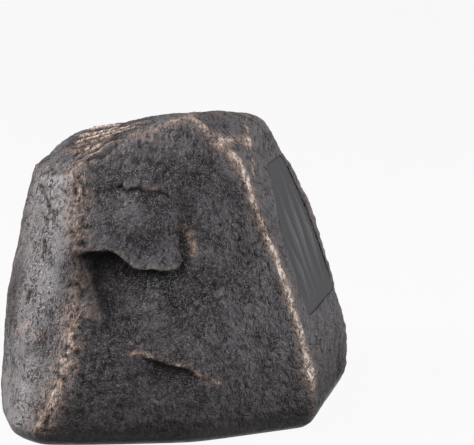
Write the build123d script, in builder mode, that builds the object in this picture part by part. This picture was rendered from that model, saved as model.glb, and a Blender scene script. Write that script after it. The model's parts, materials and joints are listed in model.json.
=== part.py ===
from build123d import *
import math
import os

# Rock-shaped garden speaker: a hollow moulded rock with a two-way loudspeaker behind a folded grille.
# Millimetres. The origin is on the ground under the middle of the rock, +Z is up, and +X is the way
# the sound leaves, so the broad face of the rock looks towards -Y.

os.makedirs("parts", exist_ok=True)

# Rock: heights of the outlines that shape it, its wall and its rolled foot
WALL = 7.0
FOOT_Z = 15.0
WAIST_Z = 110.0
SHOULDER_Z = 200.0
CROWN_Z = 345.0
TOE_Z = 5.0
TOE_ROLL = 4.0
GROUND_ROLL = 10.0

# Ridges of the rock, each as a point on the foot, waist, shoulder and crown outlines
RIDGES = (
    ((169, -40), (160, -44), (130, -42), (79, -54)),         # right, beside the grille
    ((168, 126), (159, 131), (131, 131), (81, 48)),          # right, far side of the grille
    ((115, 172), (108, 168), (84, 142), (33, 76)),           # back, right
    ((-87, 172), (-87, 166), (-79, 140), (-53, 80)),         # back, left
    ((-162, 76), (-166, 68), (-154, 50), (-109, 6)),         # left, behind
    ((-162, -102), (-167, -76), (-157, -57), (-123, -24)),   # left, in front
    ((-130, -154), (-120, -122), (-116, -93), (-100, -46)),  # left toe
    ((-92, -172), (-60, -147), (-70, -117), (-70, -60)),     # front ridge
    ((-62, -166), (-36, -140), (-46, -112), (-44, -60)),     # bevel beside the front ridge
    ((63, -121), (62, -110), (49, -88), (37, -52)),          # middle of the front
)

# Flat facets that break the rock: bearing and rise of the way each looks, and its reach from the origin
GRILLE_LEAN = 20.0
GRILLE_REACH = 185.4
FACETS = (
    (0.0, GRILLE_LEAN, GRILLE_REACH),  # grille face
    (215.9, 64.4, 302.7),              # top, over the forehead
    (-14.3, 44.1, 271.3),              # corner over the grille
    (118.3, 74.5, 311.8),              # crown
    (95.0, 40.0, 252.0),               # back of the crown
)

# Breaks under an overhanging lip: middle of the lip, bearing, fall of the lip to the right in degrees,
# depth, run down to where the break ends, lean of the face there, and length to the left and right
BREAKS = (
    ((-44, -113, 192), -76.0, 3.0, 13.0, 85.0, 19.0, 42.0, 82.0),   # dark recess under the cheek
    ((32, -124.5, 85), -72.0, 17.0, 7.5, 50.0, 9.5, 40.0, 58.0),    # hollow under the lower ridge
)
BREAK_OPEN = 60.0
BREAK_TAPER = 7.0
LIP_UNDERCUT = 5.0

# Welts that stand out of the rock: two ends on the plain face, bearing and rise of the way it looks, radius
# of the spindle that shapes the welt, height of its middle over the face and depth of its ends below it
WELTS = (
    ((-113, 4, 294), (-8, -35, 323), 215.9, 64.4, 8.0, 2.6, 0.6),         # folded layers on the top
    ((-101, -16, 292), (-26, -34, 316), 215.9, 64.4, 8.0, 2.6, 0.6),
    ((-90, -38, 289), (-30, -50, 309), 215.9, 64.4, 8.0, 2.6, 0.6),
    ((-86, -59, 286), (-44, -59, 302), 215.9, 64.4, 8.0, 2.6, 0.6),
    ((-50, -97, 222), (20, -88, 247), -77.0, 18.6, 75.0, 3.8, 0.6),       # brow
    ((-52, -140, 118), (-42, -128, 158), -74.0, 18.0, 22.0, 2.0, 6.0),    # knob below the recess
    ((-149, -113, 86), (-82, -149, 92), -118.0, 17.0, 60.0, 4.5, 9.0),    # lobe on the left face
)

# Valley down the broad face beside the cheek
VALLEY_TOP = (40.0, -103.0, 263.0)
VALLEY_FOOT = (44.5, -118.5, 187.0)
VALLEY_R = 30.0

# Grille panel and the baffle behind it, as distances from the drivers and depths below the grille face
WOOFER_SHIFT = 2.0
WOOFER_DROP = 22.0
BAFFLE_Y = 54.0
BAFFLE_Z = 190.0
DRIVER_GAP = 4.0
TWEETER_SHIFT = 6.0
PANEL_SIDE = 9.0
PANEL_END = 7.0
PANEL_SHOULDER = 12.0
PANEL_LEFT_SHOULDER = 8.0
PANEL_HIP = 34.0
PANEL_LEFT_HIP = 26.0
PANEL_CORNER = 16.0
PANEL_GAP = 0.5
COLLAR_WALL = 5.0
LEDGE_WIDTH = 11.0
LEDGE_THICK = 5.0
BAFFLE_DEPTH = 14.0
BAFFLE_THICK = 9.0
BAFFLE_RIM = 3.0
GASKET = 1.0
BAFFLE_SCREW_INSET = 10.0
BAFFLE_SCREW_D = 3.5
BAFFLE_SCREW_HEAD_D = 6.6
BAFFLE_SCREW_BITE = 3.5
FIT = 0.3
HOLE_PLAY = 0.2

# Folded and slotted grille sheet, with a lip inside the rim of the baffle and a cloth behind it
GRILLE_SEAT = 2.5
SHEET = 1.0
LIP = 6.0
FOLDS = 4
FOLD_PITCH = 25.0
FOLD_MARGIN = 11.0
FOLD_RADIUS = 17.0
FOLD_RISE = 2.6
FOLD_SINK = 0.6
SLOT_LENGTH = 8.0
SLOT_WIDTH = 2.6
SLOT_PITCH = 8.0
SLOT_MARGIN = 13.0
SCRIM = 0.4

# Woofer: radii from its axis and depths below the grille face
WOOFER_D = 104.0
WOOFER_FLANGE = 3.5
WOOFER_RIM = 7.5
MOUTH_LIP = 4.5
BASKET_WALL = 2.5
BASKET_DEPTH = 30.0
SPIDER_D = 66.6
SPIDER_LAND = 5.0
BASKET_CUP_D = 60.0
BASKET_CUP_DEPTH = 10.5
WINDOWS = 6
WINDOW_WIDTH = 24.0
BASKET_PLAY = 1.0
WOOFER_SCREWS = 4
WOOFER_SCREW_D = 4.0
WOOFER_SCREW_HEAD_D = 7.0
WOOFER_SCREW_HEAD = 2.2
PLATE = 5.0
PLATE_D = 60.0
MAGNET_D = 66.0
MAGNET_BORE_D = 38.0
MAGNET = 14.0
POLE_D = 24.4
POLE_VENT_D = 8.0
COIL_D = 25.6
FORMER_WALL = 0.4
FORMER_LENGTH = 32.0
WINDING = 0.9
WINDING_LENGTH = 12.0
COIL_GAP = 0.6
COIL_TRAVEL = 4.0
COIL_END = 1.0
ROLL_WIDTH = 8.0
CONE_LIP = 3.0
CONE = 1.0
DUST_CAP_D = 38.0
DUST_CAP_RISE = 7.0
DUST_CAP = 0.6
DOME_STEPS = 4
ROLL_STEPS = 6
SURROUND = 0.8
SURROUND_LAND = 5.0
SPIDER = 0.6
SPIDER_WAVES = 3
SPIDER_WAVE = 1.4
TERMINAL_STRIP = 3.0
TERMINAL_SPAN = 22.0
TERMINAL_HEIGHT = 6.0
TERMINAL_TAB = 0.8
TERMINAL_TAB_WIDTH = 6.3
TERMINAL_TAB_LENGTH = 8.0
GLUE = 0.1

# Tweeter
TWEETER_D = 44.0
TWEETER_RIM = 4.5
HORN_LIP = 2.0
DOME_RISE = 4.0
DOME = 0.5
POT_PLAY = 0.4
POT_WALL = 3.8
POT_DEPTH = 12.0
POT_FLOOR = 3.0
TWEETER_COIL_PLAY = 1.4
TWEETER_POLE_PLAY = 0.7
TWEETER_POLE_LAP = 0.3
TWEETER_POLE = 3.4
TWEETER_POLE_DROP = 0.8
TWEETER_COIL = 0.8
TWEETER_COIL_LENGTH = 5.0
SKIRT = 1.0
SKIRT_DEPTH = 6.0
TWEETER_SCREWS = 3
TWEETER_SCREW_D = 2.4
TWEETER_SCREW_HEAD_D = 4.2
TWEETER_SCREW_HEAD = 1.6

# Base plate, screwed up against a flange inside the foot of the rock
PLATE_Z = 4.0
BASE_PLATE = 7.0
BASE_GASKET = 1.0
BASE_RIM = 17.0
BASE_FLANGE = 16.0
BASE_FLANGE_THICK = 6.0
BASE_SCREWS = 8
BASE_SCREW_D = 4.0
BASE_SCREW_HEAD_D = 8.0
BASE_SCREW_HEAD = 2.4
BASE_SCREW_BITE = 4.5

# Cable well in the base plate, with a cable gland that points down into it
WELL_X = -40.0
WELL_Y = 85.0
WELL_D = 46.0
WELL_WALL = 4.0
WELL_TOP = 32.0
CHANNEL = 10.0
CHANNEL_DEPTH = 4.0
CHANNEL_RUN = 300.0
GLAND_D = 16.0
GLAND_HEX = 22.0
GLAND_COLLAR = 5.0
GLAND_NECK = 8.0
GLAND_END = 2.0
LOCKNUT = 5.0
CABLE_D = 7.0
SEAL_WALL = 2.0
CAP = 14.0
CAP_D = 22.0

# Crossover on four posts of the base plate
BOARD_X = -20.0
BOARD_Y = -40.0
BOARD_LENGTH = 120.0
BOARD_WIDTH = 80.0
BOARD = 1.6
POST_D = 9.0
POST = 12.0
POST_INSET = 7.0
BOARD_SCREW_D = 3.0
BOARD_SCREW_HEAD_D = 5.6
BOARD_SCREW_HEAD = 2.2
BOARD_SCREW_BITE = 7.0
WOOFER_COIL_D = 42.0
WOOFER_COIL_HEIGHT = 26.0
TWEETER_COIL_D = 28.0
TWEETER_COIL_HEIGHT = 18.0
BOBBIN_BORE_D = 14.0
CAPACITOR_LENGTH = 31.0
CAPACITOR_WIDTH = 13.0
CAPACITOR_HEIGHT = 22.0
RESISTOR_LENGTH = 48.0
RESISTOR_SIDE = 10.0
STRIP_LENGTH = 34.0
STRIP_WIDTH = 11.0
STRIP_HEIGHT = 13.0
STRIP_WAYS = 4
PART_GAP = 3.0


def looking(bearing, rise):
    """The unit vector of a bearing from +X towards +Y and a rise above the horizon, in degrees."""
    flat = math.cos(math.radians(rise))
    return Vector(
        flat * math.cos(math.radians(bearing)),
        flat * math.sin(math.radians(bearing)),
        math.sin(math.radians(rise)),
    )


def rock_outline(level, inset):
    """The outline of the rock at one of its levels, moved in by inset, flat on the XY plane."""
    with BuildSketch(mode=Mode.PRIVATE) as outline:
        with BuildLine():
            Polyline(*[ridge[level] for ridge in RIDGES], close=True)
        make_face()
        if inset > 0:
            offset(amount=-inset, kind=Kind.INTERSECTION)
    return outline.sketch_local


def break_section(lip, bearing, fall):
    """The plane that cuts a break across: outwards first, then up, looking to the left along its lip."""
    along = looking(bearing + 90, -fall)
    return Plane(origin=lip, x_dir=looking(bearing, 0), z_dir=-along)


def break_profile(depth, run, lean, inset):
    """The section of a break, grown by inset: under the lip, in to its depth and down to its end."""
    end = run * math.tan(math.radians(lean))
    with BuildSketch(mode=Mode.PRIVATE) as outline:
        with BuildLine():
            Polyline(
                (BREAK_OPEN, LIP_UNDERCUT),
                (0, 0),
                (-depth, -LIP_UNDERCUT),
                (end, -run),
                (BREAK_OPEN, -run),
                close=True,
            )
        make_face()
        if inset > 0:
            offset(amount=inset, kind=Kind.INTERSECTION)
    return outline.sketch_local


def rock_mass(inset):
    """The rock above its foot as a solid, with every face moved in by inset."""
    with BuildPart() as mass:
        for level, height in enumerate((FOOT_Z, WAIST_Z, SHOULDER_Z, CROWN_Z)):
            with BuildSketch(Plane.XY.offset(height)):
                add(rock_outline(level, inset))
        loft(ruled=inset > 0)
        for bearing, rise, reach in FACETS:
            out = looking(bearing, rise)
            split(bisect_by=Plane(origin=out * (reach - inset), z_dir=out), keep=Keep.BOTTOM)
        for lip, bearing, fall, depth, run, lean, left, right in BREAKS:
            for length in (left + inset, -right - inset):
                with BuildSketch(break_section(lip, bearing, fall)):
                    add(break_profile(depth, run, lean, inset))
                extrude(amount=length, taper=BREAK_TAPER, mode=Mode.SUBTRACT)
        with BuildSketch(Plane(origin=VALLEY_TOP, z_dir=Vector(*VALLEY_FOOT) - Vector(*VALLEY_TOP))):
            Circle(VALLEY_R + inset)
        extrude(amount=(Vector(*VALLEY_FOOT) - Vector(*VALLEY_TOP)).length, mode=Mode.SUBTRACT)
    return mass.part


def welt_section(left_end, right_end, out, depth):
    """The plane through the axis of a welt: outwards first, then along the welt, at a depth under its face."""
    run = Vector(*right_end) - Vector(*left_end)
    along = run - out * run.dot(out)
    middle = (Vector(*left_end) + Vector(*right_end)) / 2
    return Plane(origin=middle + out * depth, x_dir=out, z_dir=out.cross(along))


def spindle(radius, fall, half):
    """Half a spindle, flat on the XY plane along Y: its radius, how much less it is at its ends, half length."""
    end = radius - fall
    with BuildSketch(mode=Mode.PRIVATE) as outline:
        with BuildLine():
            Polyline((end, -half), (radius, 0), (end, half), (0, half), (0, -half), close=True)
        make_face()
    return outline.sketch_local


# Where the drivers are: sideways and up the grille face from the middle of the panel
woofer_u = WOOFER_SHIFT
woofer_v = -WOOFER_DROP
tweeter_u = TWEETER_SHIFT
tweeter_v = woofer_v + WOOFER_D / 2 + DRIVER_GAP + TWEETER_D / 2

# Corners of the grille panel, round the drivers
panel_left = woofer_u - WOOFER_D / 2 - PANEL_SIDE
panel_right = woofer_u + WOOFER_D / 2 + PANEL_SIDE
panel_bottom = woofer_v - WOOFER_D / 2 - PANEL_END
panel_top = tweeter_v + TWEETER_D / 2 + PANEL_END
panel_corners = (
    (panel_left, panel_bottom),
    (panel_right, panel_bottom),
    (panel_right, woofer_v + PANEL_HIP),
    (tweeter_u + TWEETER_D / 2 + PANEL_SHOULDER, panel_top),
    (tweeter_u - TWEETER_D / 2 - PANEL_LEFT_SHOULDER, panel_top),
    (panel_left, woofer_v + PANEL_LEFT_HIP),
)


def panel(inset, corner):
    """The outline of the grille panel, moved in by inset, with rounded corners where corner is set."""
    with BuildSketch(mode=Mode.PRIVATE) as outline:
        with BuildLine():
            if corner > 0:
                FilletPolyline(*panel_corners, radius=corner, close=True)
            else:
                Polyline(*panel_corners, close=True)
        make_face()
        if inset > 0:
            offset(amount=-inset, kind=Kind.INTERSECTION)
    return outline.sketch_local


# The grille face as a plane, and planes that cut each driver through its axis: across, then outwards
out = looking(0, GRILLE_LEAN)
face_x = (GRILLE_REACH - BAFFLE_Z * out.Z) / out.X
face = Plane(origin=(face_x, BAFFLE_Y, BAFFLE_Z), x_dir=(0, 1, 0), z_dir=out)
woofer_at = face.from_local_coords((woofer_u, woofer_v, 0))
tweeter_at = face.from_local_coords((tweeter_u, tweeter_v, 0))
woofer_cut = Plane(origin=woofer_at, x_dir=(0, 1, 0), z_dir=-face.y_dir)
tweeter_cut = Plane(origin=tweeter_at, x_dir=(0, 1, 0), z_dir=-face.y_dir)
woofer_axis = Axis(woofer_at, out)
tweeter_axis = Axis(tweeter_at, out)

# Radii of the drivers, each from the one outside it
woofer_r = WOOFER_D / 2
cutout_r = woofer_r - WOOFER_RIM
screw_circle_r = woofer_r - WOOFER_RIM / 2
throat_r = cutout_r - BASKET_PLAY
mouth_r = throat_r - MOUTH_LIP
cone_r = mouth_r - ROLL_WIDTH
tweeter_r = TWEETER_D / 2
tweeter_cutout_r = tweeter_r - TWEETER_RIM
tweeter_circle_r = tweeter_r - TWEETER_RIM / 2
skirt_r = tweeter_cutout_r - POT_PLAY - SKIRT
pot_r = skirt_r - GLUE
dome_r = pot_r - POT_WALL - TWEETER_COIL_PLAY - TWEETER_COIL
horn_r = dome_r + HORN_LIP
tweeter_pole_r = dome_r - TWEETER_POLE_PLAY
tweeter_magnet_r = tweeter_pole_r - TWEETER_POLE_LAP

# Depths below the grille face, as negative heights above it
baffle_front = -BAFFLE_DEPTH
baffle_back = baffle_front - BAFFLE_THICK
ledge_front = baffle_back - GASKET
ledge_back = ledge_front - LEDGE_THICK
flange_back = baffle_front - WOOFER_FLANGE
recess_floor = flange_back - GASKET
grille_back = -GRILLE_SEAT
grille_front = grille_back + SHEET

# Heights in the foot
plate_top = PLATE_Z + BASE_PLATE
flange_z = plate_top + BASE_GASKET
cavity_z = flange_z + BASE_FLANGE_THICK
post_top = plate_top + POST
board_top = post_top + BOARD

# Screw places
screw_ring = rock_outline(0, BASE_RIM + BASE_FLANGE / 2).faces()[0].outer_wire()
base_screw_places = [screw_ring @ ((i + 0.5) / BASE_SCREWS) for i in range(BASE_SCREWS)]
baffle_screw_places = [corner.center() for corner in panel(BAFFLE_SCREW_INSET, 0).vertices()]
board_span_x = BOARD_LENGTH - 2 * POST_INSET
board_span_y = BOARD_WIDTH - 2 * POST_INSET
baffle_screw_hole = (BAFFLE_SCREW_D + HOLE_PLAY) / 2
woofer_screw_hole = (WOOFER_SCREW_D + HOLE_PLAY) / 2
tweeter_screw_hole = (TWEETER_SCREW_D + HOLE_PLAY) / 2
base_screw_hole = (BASE_SCREW_D + HOLE_PLAY) / 2
board_screw_hole = (BOARD_SCREW_D + HOLE_PLAY) / 2

# Rock shell: the rolled foot, the body above it, its cavity, the collar of the grille and the base flange
rock_outside = rock_mass(0)
rock_inside = split(rock_mass(WALL), bisect_by=Plane.XY.offset(cavity_z), keep=Keep.TOP)
with BuildPart() as rock_shell:
    for height, inset in ((0, GROUND_ROLL), (TOE_Z, TOE_ROLL), (FOOT_Z, 0)):
        with BuildSketch(Plane.XY.offset(height)):
            add(rock_outline(0, inset))
    loft(ruled=True)
    add(rock_outside)
    for left_end, right_end, bearing, rise, radius, height, sink in WELTS:
        section = welt_section(left_end, right_end, looking(bearing, rise), height - radius)
        with BuildSketch(section):
            add(spindle(radius, height + sink, (Vector(*right_end) - Vector(*left_end)).length / 2))
        revolve(axis=Axis(section.origin, section.y_dir))
    add(rock_inside, mode=Mode.SUBTRACT)
    with BuildSketch(face.offset(-WALL)):
        add(panel(0, PANEL_CORNER))
        offset(amount=COLLAR_WALL)
    extrude(amount=ledge_back + WALL)
    with BuildSketch(face.offset(ledge_front)):
        add(panel(0, PANEL_CORNER))
    extrude(amount=BAFFLE_DEPTH + BAFFLE_THICK + GASKET + WALL, mode=Mode.SUBTRACT)
    with BuildSketch(face.offset(ledge_back)):
        add(panel(LEDGE_WIDTH, PANEL_CORNER))
    extrude(amount=LEDGE_THICK, mode=Mode.SUBTRACT)
    with BuildSketch(face.offset(ledge_front)):
        with Locations(*baffle_screw_places):
            Circle(baffle_screw_hole)
    extrude(amount=-BAFFLE_SCREW_BITE - HOLE_PLAY, mode=Mode.SUBTRACT)
    with BuildSketch():
        add(rock_outline(0, BASE_RIM))
    extrude(amount=flange_z, mode=Mode.SUBTRACT)
    with BuildSketch(Plane.XY.offset(flange_z)):
        add(rock_outline(0, BASE_RIM + BASE_FLANGE))
    extrude(amount=BASE_FLANGE_THICK, mode=Mode.SUBTRACT)
    with BuildSketch(Plane.XY.offset(flange_z)):
        with Locations(*base_screw_places):
            Circle(base_screw_hole)
    extrude(amount=BASE_SCREW_BITE + HOLE_PLAY, mode=Mode.SUBTRACT)
    with BuildSketch():
        with Locations((WELL_X, WELL_Y)):
            Rectangle(CHANNEL, CHANNEL_RUN, align=(Align.CENTER, Align.MIN))
    extrude(amount=PLATE_Z + CHANNEL_DEPTH, mode=Mode.SUBTRACT)
rock_shell.part.label = "rock_shell"
export_step(rock_shell.part, "parts/rock_shell.step")

# Base plate with the cable well, the channel that leads the cable out, and the posts of the crossover
with BuildPart() as base_plate:
    with BuildSketch(Plane.XY.offset(PLATE_Z)):
        add(rock_outline(0, BASE_RIM + PANEL_GAP))
    extrude(amount=BASE_PLATE)
    with BuildSketch(Plane.XY.offset(plate_top)):
        with Locations((WELL_X, WELL_Y)):
            Circle(WELL_D / 2 + WELL_WALL)
    extrude(amount=WELL_TOP - plate_top)
    with BuildSketch(Plane.XY.offset(plate_top)):
        with Locations((BOARD_X, BOARD_Y)):
            with GridLocations(board_span_x, board_span_y, 2, 2):
                Circle(POST_D / 2)
    extrude(amount=POST)
    with BuildSketch(Plane.XY.offset(PLATE_Z)):
        with Locations((WELL_X, WELL_Y)):
            Circle(WELL_D / 2)
    extrude(amount=WELL_TOP - WELL_WALL - PLATE_Z, mode=Mode.SUBTRACT)
    with BuildSketch(Plane.XY.offset(WELL_TOP)):
        with Locations((WELL_X, WELL_Y)):
            Circle(GLAND_D / 2 + FIT)
    extrude(amount=-WELL_WALL, mode=Mode.SUBTRACT)
    with BuildSketch(Plane.XY.offset(PLATE_Z)):
        with Locations((WELL_X, WELL_Y)):
            Rectangle(CHANNEL, CHANNEL_RUN, align=(Align.CENTER, Align.MIN))
    extrude(amount=CHANNEL_DEPTH, mode=Mode.SUBTRACT)
    with BuildSketch(Plane.XY.offset(PLATE_Z)):
        with Locations(*base_screw_places):
            Circle(base_screw_hole)
    extrude(amount=BASE_PLATE, mode=Mode.SUBTRACT)
    with BuildSketch(Plane.XY.offset(post_top)):
        with Locations((BOARD_X, BOARD_Y)):
            with GridLocations(board_span_x, board_span_y, 2, 2):
                Circle(board_screw_hole)
    extrude(amount=-BOARD_SCREW_BITE - HOLE_PLAY, mode=Mode.SUBTRACT)
base_plate.part.label = "base_plate"
export_step(base_plate.part, "parts/base_plate.step")

with BuildPart() as base_gasket:
    with BuildSketch(Plane.XY.offset(plate_top)):
        add(rock_outline(0, BASE_RIM + PANEL_GAP))
        add(rock_outline(0, BASE_RIM + BASE_FLANGE), mode=Mode.SUBTRACT)
        with Locations(*base_screw_places):
            Circle(base_screw_hole, mode=Mode.SUBTRACT)
    extrude(amount=BASE_GASKET)
base_gasket.part.label = "base_gasket"
export_step(base_gasket.part, "parts/base_gasket.step")

with BuildPart() as base_screws:
    with BuildSketch(Plane.XY.offset(PLATE_Z)):
        with Locations(*base_screw_places):
            Circle(BASE_SCREW_HEAD_D / 2)
    extrude(amount=-BASE_SCREW_HEAD)
    with BuildSketch(Plane.XY.offset(PLATE_Z)):
        with Locations(*base_screw_places):
            Circle(BASE_SCREW_D / 2)
    extrude(amount=BASE_PLATE + BASE_GASKET + BASE_SCREW_BITE)
base_screws.part.label = "base_screws"
export_step(base_screws.part, "parts/base_screws.step")

# Cable gland: a threaded body through the top of the well, its locknut, its cap and its rubber seal
gland_seat = WELL_TOP - WELL_WALL
collar_bottom = gland_seat - GLAND_COLLAR
neck_bottom = collar_bottom - GLAND_NECK
seal_d = CABLE_D + 2 * SEAL_WALL
cap_bottom = collar_bottom - CAP
with BuildPart() as cable_gland:
    with BuildSketch(Plane.XY.offset(collar_bottom)):
        with Locations((WELL_X, WELL_Y)):
            RegularPolygon(GLAND_HEX / 2, 6, major_radius=False)
    extrude(amount=GLAND_COLLAR)
    with BuildSketch(Plane.XY.offset(neck_bottom)):
        with Locations((WELL_X, WELL_Y)):
            Circle(GLAND_D / 2)
    extrude(amount=WELL_TOP + LOCKNUT + GLAND_END - neck_bottom)
    with BuildSketch(Plane.XY.offset(neck_bottom)):
        with Locations((WELL_X, WELL_Y)):
            Circle(seal_d / 2 + GLUE)
    extrude(amount=GLAND_NECK, mode=Mode.SUBTRACT)
    with BuildSketch(Plane.XY.offset(collar_bottom)):
        with Locations((WELL_X, WELL_Y)):
            Circle(CABLE_D / 2)
    extrude(amount=GLAND_COLLAR + WELL_WALL + LOCKNUT + GLAND_END, mode=Mode.SUBTRACT)
cable_gland.part.label = "cable_gland"
export_step(cable_gland.part, "parts/cable_gland.step")

with BuildPart() as gland_locknut:
    with BuildSketch(Plane.XY.offset(WELL_TOP)):
        with Locations((WELL_X, WELL_Y)):
            RegularPolygon(GLAND_HEX / 2, 6, major_radius=False)
            Circle(GLAND_D / 2 + GLUE, mode=Mode.SUBTRACT)
    extrude(amount=LOCKNUT)
gland_locknut.part.label = "gland_locknut"
export_step(gland_locknut.part, "parts/gland_locknut.step")

with BuildPart() as gland_seal:
    with BuildSketch(Plane.XY.offset(neck_bottom)):
        with Locations((WELL_X, WELL_Y)):
            Circle(seal_d / 2)
            Circle(CABLE_D / 2, mode=Mode.SUBTRACT)
    extrude(amount=GLAND_NECK)
gland_seal.part.label = "gland_seal"
export_step(gland_seal.part, "parts/gland_seal.step")

with BuildPart() as gland_cap:
    with BuildSketch(Plane.XY.offset(cap_bottom)):
        with Locations((WELL_X, WELL_Y)):
            Circle(CAP_D / 2)
    extrude(amount=CAP)
    chamfer(gland_cap.faces().sort_by(Axis.Z)[0].edges(), length=CAP / 4)
    with BuildSketch(Plane.XY.offset(collar_bottom)):
        with Locations((WELL_X, WELL_Y)):
            Circle(GLAND_D / 2 + GLUE)
    extrude(amount=-GLAND_NECK, mode=Mode.SUBTRACT)
    with BuildSketch(Plane.XY.offset(cap_bottom)):
        with Locations((WELL_X, WELL_Y)):
            Circle(CABLE_D / 2)
    extrude(amount=CAP, mode=Mode.SUBTRACT)
gland_cap.part.label = "gland_cap"
export_step(gland_cap.part, "parts/gland_cap.step")

# Baffle: a plate in the opening of the rock, with a rim that carries the grille and seats for the drivers
with BuildPart() as speaker_baffle:
    with BuildSketch(face.offset(baffle_back)):
        add(panel(PANEL_GAP, PANEL_CORNER))
    extrude(amount=BAFFLE_THICK)
    with BuildSketch(face.offset(baffle_front)):
        add(panel(PANEL_GAP, PANEL_CORNER))
        add(panel(PANEL_GAP + BAFFLE_RIM, PANEL_CORNER), mode=Mode.SUBTRACT)
    extrude(amount=grille_back - baffle_front)
    with BuildSketch(face.offset(recess_floor)):
        with Locations((woofer_u, woofer_v)):
            Circle(WOOFER_D / 2 + PANEL_GAP)
        with Locations((tweeter_u, tweeter_v)):
            Circle(TWEETER_D / 2 + PANEL_GAP)
    extrude(amount=baffle_front - recess_floor, mode=Mode.SUBTRACT)
    with BuildSketch(face.offset(baffle_back)):
        with Locations((woofer_u, woofer_v)):
            Circle(cutout_r)
            with PolarLocations(screw_circle_r, WOOFER_SCREWS, 45):
                Circle(woofer_screw_hole)
        with Locations((tweeter_u, tweeter_v)):
            Circle(tweeter_cutout_r)
            with PolarLocations(tweeter_circle_r, TWEETER_SCREWS, 90):
                Circle(tweeter_screw_hole)
        with Locations(*baffle_screw_places):
            Circle(baffle_screw_hole)
    extrude(amount=BAFFLE_THICK, mode=Mode.SUBTRACT)
speaker_baffle.part.label = "speaker_baffle"
export_step(speaker_baffle.part, "parts/speaker_baffle.step")

with BuildPart() as baffle_gasket:
    with BuildSketch(face.offset(ledge_front)):
        add(panel(PANEL_GAP, PANEL_CORNER))
        add(panel(LEDGE_WIDTH, PANEL_CORNER), mode=Mode.SUBTRACT)
        with Locations(*baffle_screw_places):
            Circle(baffle_screw_hole, mode=Mode.SUBTRACT)
    extrude(amount=GASKET)
baffle_gasket.part.label = "baffle_gasket"
export_step(baffle_gasket.part, "parts/baffle_gasket.step")

with BuildPart() as baffle_screws:
    with BuildSketch(face.offset(baffle_front)):
        with Locations(*baffle_screw_places):
            Circle(BAFFLE_SCREW_HEAD_D / 2)
    extrude(amount=WOOFER_SCREW_HEAD)
    with BuildSketch(face.offset(baffle_front)):
        with Locations(*baffle_screw_places):
            Circle(BAFFLE_SCREW_D / 2)
    extrude(amount=-BAFFLE_THICK - GASKET - BAFFLE_SCREW_BITE)
baffle_screws.part.label = "baffle_screws"
export_step(baffle_screws.part, "parts/baffle_screws.step")

# Grille: a flat sheet with a lip, pressed into soft upright folds that taper out, and slots between them
fold_axis_w = grille_front - (FOLD_RADIUS - FOLD_RISE)
fold_first = woofer_u - FOLD_PITCH * FOLDS / 2 + FOLD_PITCH / 4
fold_places = [fold_first + FOLD_PITCH * i for i in range(FOLDS)]
shoulder_u = panel_corners[3][0]
shoulder_fall = (panel_top - panel_corners[2][1]) / (panel_right - shoulder_u)
left_shoulder_u = panel_corners[4][0]
left_fall = (panel_top - panel_corners[5][1]) / (left_shoulder_u - panel_left)
slot_field = panel(SLOT_MARGIN, PANEL_CORNER).faces()[0]
slot_rows = int((panel_top - panel_bottom) / SLOT_PITCH)
slot_places = [
    (place + FOLD_PITCH / 2, panel_bottom + SLOT_PITCH * row)
    for place in fold_places
    for row in range(slot_rows)
]


def dome_steps(radius, rise, skin, rim):
    """Half the section of a shallow dome in straight steps: out to its rim and back in under its skin."""
    ball = (radius**2 + rise**2) / (2 * rise)
    middle = rim + rise - ball
    over = math.acos((ball - rise) / ball)
    under = math.acos((ball - rise) / (ball - skin))
    points = []
    for i in range(DOME_STEPS + 1):
        turn = over * i / DOME_STEPS
        points.append((ball * math.sin(turn), middle + ball * math.cos(turn)))
    for i in range(DOME_STEPS, -1, -1):
        turn = under * i / DOME_STEPS
        points.append(((ball - skin) * math.sin(turn), middle + (ball - skin) * math.cos(turn)))
    return points


def roll_steps(middle, half, rise, foot):
    """A half roll in straight steps, from its inner foot over its crest to its outer foot."""
    points = []
    for i in range(ROLL_STEPS + 1):
        turn = math.pi * i / ROLL_STEPS
        points.append((middle - half * math.cos(turn), foot + rise * math.sin(turn)))
    return points


def inside_field(place):
    """Whether a slot at this place stays inside the field of the grille at both its ends."""
    ends = (Vector(place[0] - SLOT_LENGTH / 2, place[1]), Vector(place[0] + SLOT_LENGTH / 2, place[1]))
    return all(slot_field.is_inside(end) for end in ends)


def fold_span(place):
    """The middle and the length of the fold at this place, as far as the panel is tall there."""
    right_drop = max(0, place + FOLD_PITCH / 2 - shoulder_u) * shoulder_fall
    left_drop = max(0, left_shoulder_u - place + FOLD_PITCH / 2) * left_fall
    top = panel_top - max(right_drop, left_drop) - FOLD_MARGIN
    bottom = panel_bottom + FOLD_MARGIN
    return (top + bottom) / 2, top - bottom


def fold_section(place):
    """A plane through the axis of a fold: outwards first, then up the panel."""
    origin = face.from_local_coords((place, fold_span(place)[0], fold_axis_w))
    return Plane(origin=origin, x_dir=out, z_dir=-face.x_dir)


def fold_profile(place, inset):
    """Half the spindle that a fold is pressed over, flat on the XY plane, moved in by inset."""
    return spindle(FOLD_RADIUS - inset, FOLD_RISE + FOLD_SINK, fold_span(place)[1] / 2)


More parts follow.
